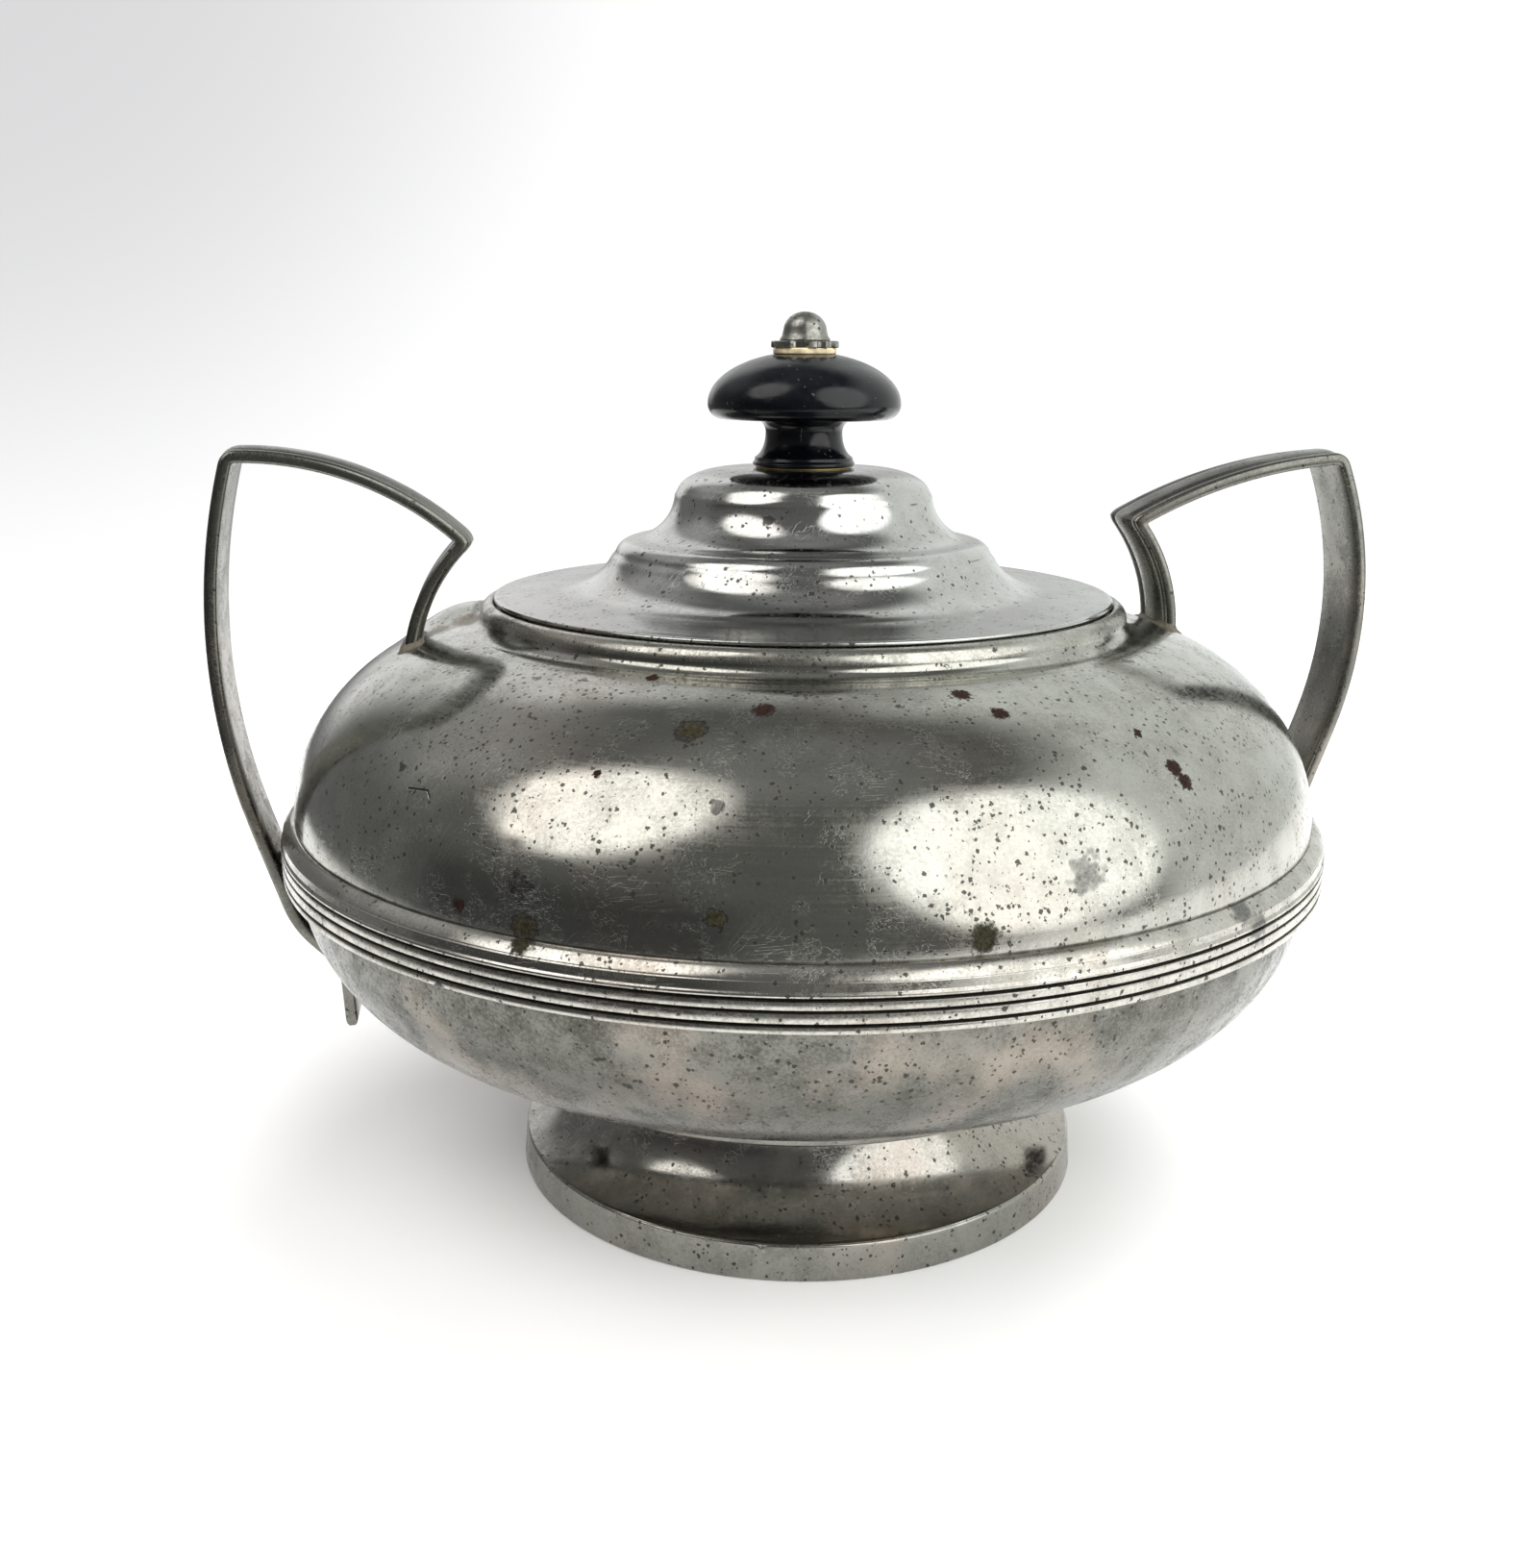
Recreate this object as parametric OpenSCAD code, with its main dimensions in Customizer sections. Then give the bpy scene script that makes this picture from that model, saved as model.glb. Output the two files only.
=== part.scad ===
// Lidded two-handled sugar bowl in spun pewter, with a turned black knob on its lid.
// Millimetres, +Z up. The origin is on the table, on the axis of the bowl.
// The handles lie along X.

/* [Bowl] */
// Diameter of the bowl over its reeded girdle
body_d = 140.6; // [139:0.2:143]
// Thickness of the spun sheet
wall = 1.3; // [1.0:0.1:1.5]
// Height of the girdle's lower edge above the table
girdle_z = 46.6; // [45:0.2:49]
// Height of the girdle
girdle_h = 7.0; // [6.6:0.1:7.4]
// Height of the shoulder above the girdle
shoulder_h = 24.3; // [23:0.1:25.5]
// Depth of the belly below the girdle
belly_h = 22.7; // [21.5:0.1:23.5]
// Inner diameter of the mouth rim
mouth_d = 83; // [82.6:0.1:84]

/* [Foot] */
// Diameter of the foot where it stands on the table
foot_d = 79.8; // [78:0.2:84]
// Height of the flat strip round the edge of the foot
foot_rim_h = 5.0; // [4:0.1:6]
// Diameter of the foot's narrow neck
foot_neck_d = 61.6; // [60:0.2:64]
// Diameter of the collar that joins the foot to the bowl
foot_collar_d = 86; // [82:0.5:88]
// Height of the collar's lower face above the table
foot_collar_z = 20; // [19.5:0.1:21]

/* [Lid] */
// Diameter of the lid's flat edge
lid_d = 83; // [82:0.1:83.4]
// Thickness of the lid's edge
lid_edge = 0.6; // [0.5:0.1:0.8]
// Clearance under the lid's edge
lid_gap = 0.1; // [0.05:0.05:0.2]
// Outer diameter of the bezel that drops into the mouth
bezel_d = 75.8; // [75:0.1:76]
// Depth of the bezel under the lid's edge
bezel_h = 5.0; // [4:0.1:6]

/* [Finial] */
// Diameter of the black knob
knob_d = 25.6; // [24:0.1:27]
// Diameter of the knob's waist
knob_waist_d = 10.2; // [9:0.1:11]
// Diameter of the stud through the finial
stud_d = 3.2; // [3:0.1:3.4]
// Radial clearance round the stud
stud_fit = 0.05; // [0.03:0.01:0.08]

/* [Handles] */
// Width of the handle strap
strap_w = 10; // [8:0.1:11]
// Thickness of the strap at its edges
strap_t = 1.5; // [1.3:0.1:1.7]
// Height of the raised band along the outside of the strap
crown_h = 0.5; // [0.3:0.1:0.6]
// Width of that raised band
crown_w = 5.4; // [4:0.1:6]

/* [Hidden] */
$fn = 120;
eps = 0.01;
girdle_r = body_d / 2;
shell_r = girdle_r - 1.9;         // outside of the shells under the girdle
seam_z = girdle_z + girdle_h / 2; // where the two shells meet
shell_top_z = girdle_z + girdle_h;

// Shoulder and belly are quarter ovals about these centres
shoulder_c = [shell_r - 28.5, shell_top_z];
shoulder_a = 28.5;
belly_c = [shell_r - 26.5, girdle_z + 0.4];
belly_a = 26.5;
belly_z = belly_c[1] - belly_h;

// Mouth
neck_r = mouth_d / 2 + wall;
cove_w = 2;                       // the hollow curve between the shoulder and the neck
cove_h = 1.2;
neck_turn = acos((neck_r + cove_w - shoulder_c[0]) / shoulder_a);
cove_z = shoulder_c[1] + shoulder_h * sin(neck_turn) + cove_h;
neck_z = cove_z + 0.15;
rim_r = 0.95;
seat_z = neck_z + 1.8;
seat_in_r = 38.3;
seat_out_r = mouth_d / 2 - 0.9;
seat_t = 1.2;
seat_leg_z = neck_z - wall;       // lower end of the leg soldered into the neck

// Foot
foot_r = foot_d / 2;
foot_edge_r = foot_r - 0.5;
foot_neck_r = foot_neck_d / 2;
foot_scoop_r = 12.8;
foot_scoop_turn = 70;

// Lid. Each curve is [centre r, centre z over the lid's underside, half width, half height]
lid_r = lid_d / 2;
lid_z = seat_z + lid_gap;
lid_h = 17.1;
lid_top_z = lid_z + lid_h;
lid_sheet = 1.2;
lid_dome = [9.5, 13.7, 7.4, 3.4];
lid_upper_scoop = [23.8, 14.1, 6.6, 6.4];
lid_step = [22.9, 5.5, 2.4, 2.2];
lid_lower_scoop = [34, 7.5, 8.7, 6.3];
lid_boss_r = 7;                   // flat under the top, for the lock washer
bezel_t = 1.3;

// Finial, stacked on the flat top of the lid
washer_t = 0.2;
washer_r = 6.4;
knob_z = lid_top_z + washer_t;
knob_foot_r = 6.8;
knob_waist_z = 4.4;               // heights over the knob's foot: its waist,
knob_under_z = 6.1;               // the underside of its head,
knob_wide_z = 8.05;               // and where the head is widest
crown_rise = 6.7;
crown_turn = 71;                  // ends in a small flat for the washer
knob_h = knob_wide_z + crown_rise * sin(crown_turn);
top_washer_t = 0.8;
top_washer_r = 4.2;
collar_t = 0.9;
finial_collar_r = 4.6;
cap_z = knob_z + knob_h + top_washer_t + collar_t;
cap_h = 3.7;
cap_r = 3.35;
cap_dome_r = 2.8;
cap_dome_h = 2.4;
bore_r = stud_d / 2 + stud_fit;
lock_washer_t = 0.7;
lock_washer_r = 4;
lock_nut_t = 2.2;
lock_nut_r = 3.4;
lock_z = lid_top_z - lid_sheet;
stud_low_z = lock_z - lock_washer_t - lock_nut_t - 0.6;
stud_high_z = cap_z + 2.1;

// Handles, in the XZ plane. The two were bent by hand and differ a little. Each form is the arcs of the
// riser, the top and the grip, as [centre x, centre z, radius] to the edge of their outer face, then the
// slope at which the grip leaves its arc and the length of the straight run past the girdle.
left_form = [[29, 71.4, 22.9], [72, 60.8, 39.7], [-5.1, 76, 82.8], -17.5, 10.8];
right_form = [[27.2, 75.3, 23.3], [78.2, 32.1, 67.7], [26.6, 77.6, 53.2], -19, 21.8];
riser_root = -8;                  // angle at which the riser is inside the bowl
turn_in_r = 14;
turn_in = -44;                    // slope at which the strap comes in under the girdle
turn_in_straight = 3.6;
tail_r = 4;
tail_turn = -3;                   // slope of the tail
tail_l = 6.8;
solder_w = 8;
solder_low_z = 37;

// ---- outlines -------------------------------------------------------------

// Points on an oval arc about c, from angle a0 to a1
function oval(c, rx, rz, a0, a1, n = 16) =
    [for (i = [0:n]) let (a = a0 + (a1 - a0) * i / n) [c[0] + rx * cos(a), c[1] + rz * sin(a)]];

function arc(c, r, a0, a1, n = 16) = oval(c, r, r, a0, a1, n);

function reversed(p) = [for (i = [len(p) - 1:-1:0]) p[i]];

// The crossing of circles p and q, each [x, z, r], on the side given by s = 1 or -1
function crossing(p, q, s) =
    let (d = [q[0] - p[0], q[1] - p[1]], l = norm(d), u = d / l,
         along = (l * l + p[2] * p[2] - q[2] * q[2]) / (2 * l),
         off = sqrt(p[2] * p[2] - along * along))
    [p[0] + u[0] * along - s * u[1] * off, p[1] + u[1] * along + s * u[0] * off];

function angle_on(p, point) = atan2(point[1] - p[1], point[0] - p[0]);

// The same arc moved off by t along its radius
function grown(p, t) = [p[0], p[1], p[2] + t];

// ---- bowl -----------------------------------------------------------------

// The outside of both shells as one solid of revolution, or the inside when t is the wall
module bowl_form(t = 0) {
    rotate_extrude()
        polygon(concat(
            [[0, belly_z + t]],
            oval(belly_c, belly_a - t, belly_h - t, -90, 0),
            oval(shoulder_c, shoulder_a - t, shoulder_h - t, 0, neck_turn),
            oval([neck_r + cove_w, cove_z], cove_w + t, cove_h + t, 262, 180, 6),
            [[neck_r - t, neck_z], [0, neck_z]]));
}

// What lies between two heights
module slab(low, high) {
    translate([0, 0, low])
        cylinder(r = girdle_r + 20, h = high - low);
}

module bowl_shell(low, high) {
    intersection() {
        difference() {
            bowl_form();
            bowl_form(wall);
            translate([0, 0, neck_z - wall])
                cylinder(r = neck_r - wall, h = 2 * wall);
        }
        slab(low, high);
    }
}

module lower_bowl() {
    color("#8f908c") bowl_shell(0, seam_z);
}

module upper_bowl() {
    color("#8f908c") bowl_shell(seam_z, neck_z);
}

// Three flat reeds and a rounded upper bead, turned on one ring that covers the seam
module reeded_girdle() {
    groove = 0.5;
    reeds = [1.7, 3.3, 4.7];
    bead_z = girdle_z + 4.9;
    color("#9a9b96")
    rotate_extrude()
    difference() {
        polygon(concat(
            [[shell_r, girdle_z], [girdle_r - 0.5, girdle_z], [girdle_r, girdle_z + 0.4]],
            oval([shell_r + 0.4, bead_z], girdle_r - shell_r - 0.4, 1.0, 0, 75, 6),
            [[shell_r + 0.4, shell_top_z - 0.6], [shell_r + 0.15, shell_top_z], [shell_r, shell_top_z]]));
        for (z = reeds)
            translate([girdle_r - groove, girdle_z + z])
                square([1, 0.25]);
        translate([girdle_r - groove / 2, girdle_z + 4.35])
            square([1, 0.15]);
    }
}

// The round bead on the mouth
module mouth_rim() {
    mid = [mouth_d / 2 + rim_r, neck_z + rim_r];
    color("#9a9b96")
    rotate_extrude()
        polygon(concat([[mouth_d / 2, neck_z], [mid[0] + 0.5, neck_z]], arc(mid, rim_r, -55, 180, 12)));
}

// The ledge inside the neck that the lid's edge rests on, with a groove between it and the rim
module lid_seat_ring() {
    color("#7d7e7a")
    rotate_extrude()
        polygon([[seat_in_r, seat_z - seat_t], [seat_in_r, seat_z], [seat_out_r, seat_z],
                 [seat_out_r, neck_z + 0.7], [mouth_d / 2, neck_z + 0.7], [mouth_d / 2, seat_leg_z],
                 [mouth_d / 2 - wall, seat_leg_z], [mouth_d / 2 - wall, neck_z - 0.1],
                 [seat_out_r - 1, seat_z - seat_t]]);
}

// ---- foot -----------------------------------------------------------------

// A spun cup whose wall meets the belly and whose floor carries the foot
module foot_collar() {
    collar_r = foot_collar_d / 2;
    top_z = belly_z + 1 - foot_collar_z;
    edge = 0.6;
    color("#8a8b87")
    difference() {
        translate([0, 0, foot_collar_z])
        rotate_extrude()
            polygon([[foot_neck_r - wall, 0], [collar_r - edge, 0], [collar_r, edge], [collar_r, top_z],
                     [collar_r - wall, top_z], [collar_r - wall, wall], [foot_neck_r - wall, wall]]);
        bowl_form();
    }
}

// A sheet that scoops out from its neck to the strip round its edge
module foot_shell() {
    neck = [foot_neck_r + foot_scoop_r, foot_rim_h + foot_scoop_r * sin(foot_scoop_turn)];
    outside = arc(neck, foot_scoop_r, 180, 180 + foot_scoop_turn);
    inside = arc(neck, foot_scoop_r + wall, 180, 180 + foot_scoop_turn);
    edge = outside[len(outside) - 1];
    under = inside[len(inside) - 1];
    color("#888985")
    rotate_extrude()
        polygon(concat(
            [[foot_neck_r - wall, foot_collar_z], [foot_neck_r, foot_collar_z]],
            outside,
            [[foot_edge_r, edge[1]], [foot_edge_r, under[1]], under],
            reversed(inside)));
}

// The flat strip that the bowl stands on
module foot_rim() {
    top = foot_rim_h;
    under = foot_rim_h - wall * sin(foot_scoop_turn);
    color("#9a9b96")
    rotate_extrude()
        polygon([[foot_r - wall, 0], [foot_r, 0], [foot_edge_r + 0.1, top], [foot_edge_r, top],
                 [foot_edge_r, under], [foot_r - wall, under]]);
}

// ---- handles --------------------------------------------------------------

// The outline of one run of strap, whose outer face stands h proud, between its corners.
// The riser's outer face looks at the axis, and those of the top and grip look away from the loop.
function riser_band(form, h) =
    let (out = grown(form[0], -h), in = grown(form[0], strap_t),
         top_out = crossing(out, grown(form[1], h), 1),
         top_in = crossing(in, grown(form[1], -strap_t), 1))
    concat(arc(out, out[2], riser_root, angle_on(out, top_out), 10),
           arc(in, in[2], angle_on(in, top_in), riser_root, 10));

function top_band(form, h) =
    let (out = grown(form[1], h), in = grown(form[1], -strap_t),
         low_out = crossing(grown(form[0], -h), out, 1),
         low_in = crossing(grown(form[0], strap_t), in, 1),
         high_out = crossing(grown(form[2], h), out, 1),
         high_in = crossing(grown(form[2], -strap_t), in, 1))
    concat(arc(out, out[2], angle_on(out, high_out), angle_on(out, low_out), 12),
           arc(in, in[2], angle_on(in, low_in), angle_on(in, high_in), 12));

function polar(r, a) = [r * cos(a), r * sin(a)];

// Along a slope, downwards
function down(a, l) = polar(l, a - 90);

// The grip's line at offset h from its outer face, from the corner at the top down to the tail's end
function grip_line(form, h, top) =
    let (grip = form[2], slope = form[3],
         c1 = [grip[0], grip[1]],
         c2 = c1 + down(slope, form[4]) + polar(grip[2] - turn_in_r, slope),
         c3 = c2 + down(turn_in, turn_in_straight) + polar(turn_in_r + tail_r, turn_in))
    concat(arc(c1, grip[2] + h, angle_on(grip, top), slope, 16),
           arc(c2, turn_in_r + h, slope, turn_in, 6),
           arc(c3, tail_r - h, 180 + turn_in, 180 + tail_turn, 8),
           [c3 - polar(tail_r - h, tail_turn) + down(tail_turn, tail_l)]);

function grip_band(form, h) =
    let (out = crossing(grown(form[2], h), grown(form[1], h), 1),
         in = crossing(grown(form[2], -strap_t), grown(form[1], -strap_t), 1))
    concat(grip_line(form, h, out), reversed(grip_line(form, -strap_t, in)));

module flat_strap(band, w) {
    rotate([90, 0, 0])
        linear_extrude(height = w, center = true)
            polygon(band);
}

// A strap of full width with a narrower raised band along its outer face
module strap(edge_band, crown_band) {
    flat_strap(edge_band, strap_w);
    flat_strap(crown_band, crown_w);
}

module handle_riser(form) {
    color("#85867f")
    difference() {
        strap(riser_band(form, 0), riser_band(form, crown_h));
        bowl_form();
    }
}

module handle_top(form) {
    color("#8b8c86") strap(top_band(form, 0), top_band(form, crown_h));
}

module handle_grip(form) {
    color("#6f706b") strap(grip_band(form, 0), grip_band(form, crown_h));
}

// Solder that fills the wedge between the strap, the belly and the girdle's lower edge
module handle_solder(form) {
    level = [form[2][0] + 1, form[2][1]];
    color("#5d5e59")
    difference() {
        intersection() {
            flat_strap(concat([[belly_c[0], level[1]]], grip_line(form, -strap_t, level), [[belly_c[0], 0]]),
                       solder_w);
            slab(solder_low_z, girdle_z);
        }
        bowl_form($fn = 360);
    }
}

module on_left() {
    rotate([0, 0, 180]) children();
}

module left_handle_riser() { on_left() handle_riser(left_form); }
module left_handle_top() { on_left() handle_top(left_form); }
module left_handle_grip() { on_left() handle_grip(left_form); }
module left_handle_solder() { on_left() handle_solder(left_form); }
module right_handle_riser() { handle_riser(right_form); }
module right_handle_top() { handle_top(right_form); }
module right_handle_grip() { handle_grip(right_form); }
module right_handle_solder() { handle_solder(right_form); }

// ---- lid ------------------------------------------------------------------

// A stretch of one of the lid's curves, made t larger in both half sizes
function lid_curve(c, t, a0, a1, n) = oval([c[0], lid_z + c[1]], c[2] + t, c[3] + t, a0, a1, n);

// From the edge of the flat top out to the flange; the inside is the same line t below
function lid_line(t) = concat(
    lid_curve(lid_dome, -t, 90, 12, 8),
    lid_curve(lid_upper_scoop, t, 185, 262, 8),
    lid_curve(lid_step, -t, 80, 15, 5),
    lid_curve(lid_lower_scoop, t, 200, 265, 9));

module lid_shell() {
    color("#979893")
    difference() {
        rotate_extrude()
            polygon(concat(
                [[0, lock_z], [0, lid_top_z]],
                lid_line(0),
                [[lid_r - 0.2, lid_z + lid_edge], [lid_r, lid_z + lid_edge - 0.2], [lid_r, lid_z],
                 [bezel_d / 2 - bezel_t - 1, lid_z]],
                reversed(lid_line(lid_sheet)),
                [[lid_boss_r, lock_z]]));
        translate([0, 0, lock_z - eps])
            cylinder(r = bore_r, h = lid_sheet + 2 * eps);
    }
}

module lid_bezel() {
    color("#7d7e7a")
    translate([0, 0, lid_z - bezel_h])
    difference() {
        cylinder(d = bezel_d, h = bezel_h);
        translate([0, 0, -eps])
            cylinder(r = bezel_d / 2 - bezel_t, h = bezel_h + 2 * eps);
    }
}

// ---- finial ---------------------------------------------------------------

// A turned solid with the stud's bore through it
module drilled(low, high) {
    difference() {
        children();
        translate([0, 0, low - eps])
            cylinder(r = bore_r, h = high - low + 2 * eps);
    }
}

module disc(low, t, r) {
    drilled(low, low + t)
        translate([0, 0, low])
            cylinder(r = r, h = t);
}

module finial_base_washer() {
    color("#b08d4a") disc(lid_top_z, washer_t, washer_r);
}

// Waisted stem under a flattened mushroom
module finial_knob() {
    knob_r = knob_d / 2;
    waist_r = knob_waist_d / 2;
    edge_r = 2;
    color("#16171a")
    drilled(knob_z, knob_z + knob_h)
        translate([0, 0, knob_z])
        rotate_extrude()
            polygon(concat(
                [[0, 0], [knob_foot_r, 0], [knob_foot_r, 0.7]],
                oval([waist_r + 2, knob_waist_z], 2, knob_waist_z - 1, 250, 180, 6),
                oval([waist_r + 1.6, knob_waist_z], 1.6, knob_under_z - knob_waist_z, 170, 95, 6),
                oval([knob_r - edge_r, knob_wide_z], edge_r, knob_wide_z - knob_under_z, -90, 0, 6),
                oval([0, knob_wide_z], knob_r, crown_rise, 8, crown_turn, 12),
                [[0, knob_h]]));
}

module finial_top_washer() {
    color("#e3d6b4") disc(knob_z + knob_h, top_washer_t, top_washer_r);
}

module finial_collar() {
    color("#777873") disc(knob_z + knob_h + top_washer_t, collar_t, finial_collar_r);
}

// Bell-shaped cap nut with a blind bore
module finial_cap_nut() {
    color("#6c6d68")
    difference() {
        translate([0, 0, cap_z])
        rotate_extrude()
            polygon(concat(
                [[0, 0], [cap_r, 0], [cap_r, 0.3]],
                oval([0, cap_h - cap_dome_h], cap_dome_r, cap_dome_h, 0, 90, 10)));
        translate([0, 0, cap_z - eps])
            cylinder(r = bore_r, h = stud_high_z - cap_z + 0.3);
    }
}

module finial_stud() {
    color("#a88a50")
    translate([0, 0, stud_low_z])
        cylinder(d = stud_d, h = stud_high_z - stud_low_z);
}

module finial_lock_washer() {
    color("#8c8d88") disc(lock_z - lock_washer_t, lock_washer_t, lock_washer_r);
}

module finial_lock_nut() {
    low = lock_z - lock_washer_t - lock_nut_t;
    color("#a88a50")
    drilled(low, low + lock_nut_t)
        translate([0, 0, low])
            cylinder(r = lock_nut_r, h = lock_nut_t, $fn = 6);
}

// ---- the object -----------------------------------------------------------

lower_bowl();
upper_bowl();
reeded_girdle();
mouth_rim();
lid_seat_ring();
foot_collar();
foot_shell();
foot_rim();
left_handle_riser();
left_handle_top();
left_handle_grip();
left_handle_solder();
right_handle_riser();
right_handle_top();
right_handle_grip();
right_handle_solder();
lid_shell();
lid_bezel();
finial_base_washer();
finial_knob();
finial_top_washer();
finial_collar();
finial_cap_nut();
finial_stud();
finial_lock_washer();
finial_lock_nut();
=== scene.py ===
"""A lidded two-handled sugar bowl in spun pewter, dressed round its CAD frame. Lengths in the helpers are
millimetres, in the frame's axes, and MM turns them into metres where a mesh is made."""
import math
import random

import bmesh
import bpy
from mathutils import Matrix, Vector


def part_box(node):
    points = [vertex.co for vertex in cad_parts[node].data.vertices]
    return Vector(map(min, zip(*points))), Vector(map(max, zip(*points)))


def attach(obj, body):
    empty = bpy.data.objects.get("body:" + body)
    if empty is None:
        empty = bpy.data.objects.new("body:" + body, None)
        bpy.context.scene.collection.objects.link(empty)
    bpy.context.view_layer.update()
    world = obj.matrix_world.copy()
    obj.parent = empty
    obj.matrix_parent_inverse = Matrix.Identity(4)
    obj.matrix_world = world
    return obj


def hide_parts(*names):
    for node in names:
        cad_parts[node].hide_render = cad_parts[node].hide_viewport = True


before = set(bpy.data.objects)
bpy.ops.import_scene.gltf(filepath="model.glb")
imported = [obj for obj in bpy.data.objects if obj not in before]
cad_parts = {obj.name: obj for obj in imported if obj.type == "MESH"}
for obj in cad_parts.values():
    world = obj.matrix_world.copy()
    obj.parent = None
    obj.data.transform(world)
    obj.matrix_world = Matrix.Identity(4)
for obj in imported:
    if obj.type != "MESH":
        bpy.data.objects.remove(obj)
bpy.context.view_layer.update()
scene = bpy.context.scene
MM = 0.001
ON_AXIS = 0.001  # a point nearer to the axis than this is on it


def low(node):
    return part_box(node)[0] / MM


def high(node):
    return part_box(node)[1] / MM


def span(node):
    """The node's lowest and highest points and its reach along X, which is the radius of a turned piece."""
    return low(node)[2], high(node)[2], high(node)[0]


# ---- camera ---------------------------------------------------------------

HANDLE_TURN = math.radians(10)  # the right handle is turned away from the camera
EYE_BACK, EYE_UP = 220.0, 112.35  # from the bowl's axis and above the floor
EYE_PITCH, EYE_YAW, EYE_ROLL = (math.radians(a) for a in (-14.84, 1.14, 0.33))
LENS, SENSOR = 37.17, 36


def make_camera():
    data = bpy.data.cameras.new("camera")
    data.lens = LENS
    data.sensor_width = SENSOR
    data.clip_start = 0.01
    camera = bpy.data.objects.new("camera", data)
    scene.collection.objects.link(camera)
    turn = Matrix.Rotation(-HANDLE_TURN, 4, "Z")
    place = Matrix.Translation(Vector((0, -EYE_BACK, EYE_UP)) * MM)
    look = (Matrix.Rotation(EYE_YAW, 4, "Z") @ Matrix.Rotation(math.pi / 2 + EYE_PITCH, 4, "X")
            @ Matrix.Rotation(EYE_ROLL, 4, "Z"))
    camera.matrix_world = turn @ place @ look
    scene.camera = camera


# ---- node graphs ----------------------------------------------------------

class Graph:
    """Short calls for building a node tree. A value is a number, a tuple or another node's output."""

    def __init__(self, tree):
        self.tree = tree
        tree.nodes.clear()

    def node(self, kind, inputs=(), **settings):
        node = self.tree.nodes.new(kind)
        for name, value in settings.items():
            setattr(node, name, value)
        for name, value in dict(inputs).items():
            self.put(node.inputs[name], value)
        return node

    def put(self, socket, value):
        if isinstance(value, bpy.types.NodeSocket):
            self.tree.links.new(value, socket)
        elif value is not None:
            socket.default_value = value

    def math(self, operation, a, b=None):
        node = self.node("ShaderNodeMath", operation=operation)
        self.put(node.inputs[0], a)
        self.put(node.inputs[1], b)
        return node.outputs[0]

    def plus(self, a, b):
        return self.math("ADD", a, b)

    def minus(self, a, b):
        return self.math("SUBTRACT", a, b)

    def times(self, a, b):
        return self.math("MULTIPLY", a, b)

    def larger(self, a, b):
        return self.math("MAXIMUM", a, b)

    def vector(self, operation, a, b=None, output=0):
        node = self.node("ShaderNodeVectorMath", operation=operation)
        self.put(node.inputs[0], a)
        if operation == "SCALE":
            self.put(node.inputs["Scale"], b)
        else:
            self.put(node.inputs[1], b)
        return node.outputs[output]

    def length(self, a):
        return self.vector("LENGTH", a, output=1)

    def dot(self, a, b):
        return self.vector("DOT_PRODUCT", a, b, output=1)

    def split(self, vector):
        return self.node("ShaderNodeSeparateXYZ", {"Vector": vector}).outputs

    def join(self, x, y, z):
        return self.node("ShaderNodeCombineXYZ", {"X": x, "Y": y, "Z": z}).outputs[0]

    def ramp(self, value, start, end, low=0.0, high=1.0):
        """low to high, smoothly, as value goes from start to end."""
        node = self.node("ShaderNodeMapRange", {"Value": value, "From Min": start, "From Max": end,
                                                "To Min": low, "To Max": high},
                                 interpolation_type="SMOOTHSTEP")
        return node.outputs[0]

    def noise(self, vector, scale, detail=2.0, roughness=0.5, distortion=0.0, w=None):
        node = self.node("ShaderNodeTexNoise", {"Vector": vector, "Scale": scale, "Detail": detail,
                                                "Roughness": roughness, "Distortion": distortion},
                         noise_dimensions="3D" if w is None else "4D")
        if w is not None:
            self.put(node.inputs["W"], w)
        return node.outputs[0]

    def cells(self, vector, scale):
        return self.node("ShaderNodeTexVoronoi", {"Vector": vector, "Scale": scale}).outputs

    def mix(self, factor, a, b):
        node = self.node("ShaderNodeMix", data_type="RGBA")
        named = {socket.identifier: socket for socket in (*node.inputs, *node.outputs)}
        for name, value in (("Factor_Float", factor), ("A_Color", a), ("B_Color", b)):
            self.put(named[name], value)
        return named["Result_Color"]

    def blend(self, factor, a, b):
        """A number between a and b."""
        return self.plus(self.times(self.minus(1.0, factor), a), self.times(factor, b))


def new_material(name):
    """A material, the graph to fill it with, and the point on the surface in millimetres."""
    material = bpy.data.materials.new(name)
    material.use_nodes = True
    g = Graph(material.node_tree)
    p = g.vector("SCALE", g.node("ShaderNodeTexCoord").outputs["Object"], 1 / MM)
    return material, g, p


def finish_surface(g, color, roughness, height, **more):
    """The shader of a piece's material. height is its fine relief in millimetres."""
    bump = g.node("ShaderNodeBump", {"Height": height, "Distance": MM, "Strength": 1.0})
    inputs = {"Base Color": color, "Roughness": roughness, "Normal": bump.outputs[0]}
    inputs.update({name.replace("_", " "): value for name, value in more.items()})
    shader = g.node("ShaderNodeBsdfPrincipled", inputs)
    g.node("ShaderNodeOutputMaterial", {"Surface": shader.outputs[0]})


# ---- studio ---------------------------------------------------------------

def aim(azimuth, elevation):
    """A unit vector. Azimuth 0 is to the camera's right and -90 is towards the camera."""
    a, e = math.radians(azimuth) - HANDLE_TURN, math.radians(elevation)
    return Vector((math.cos(a) * math.cos(e), math.sin(a) * math.cos(e), math.sin(e)))


WHITE = (1.0, 1.0, 1.0)
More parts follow.
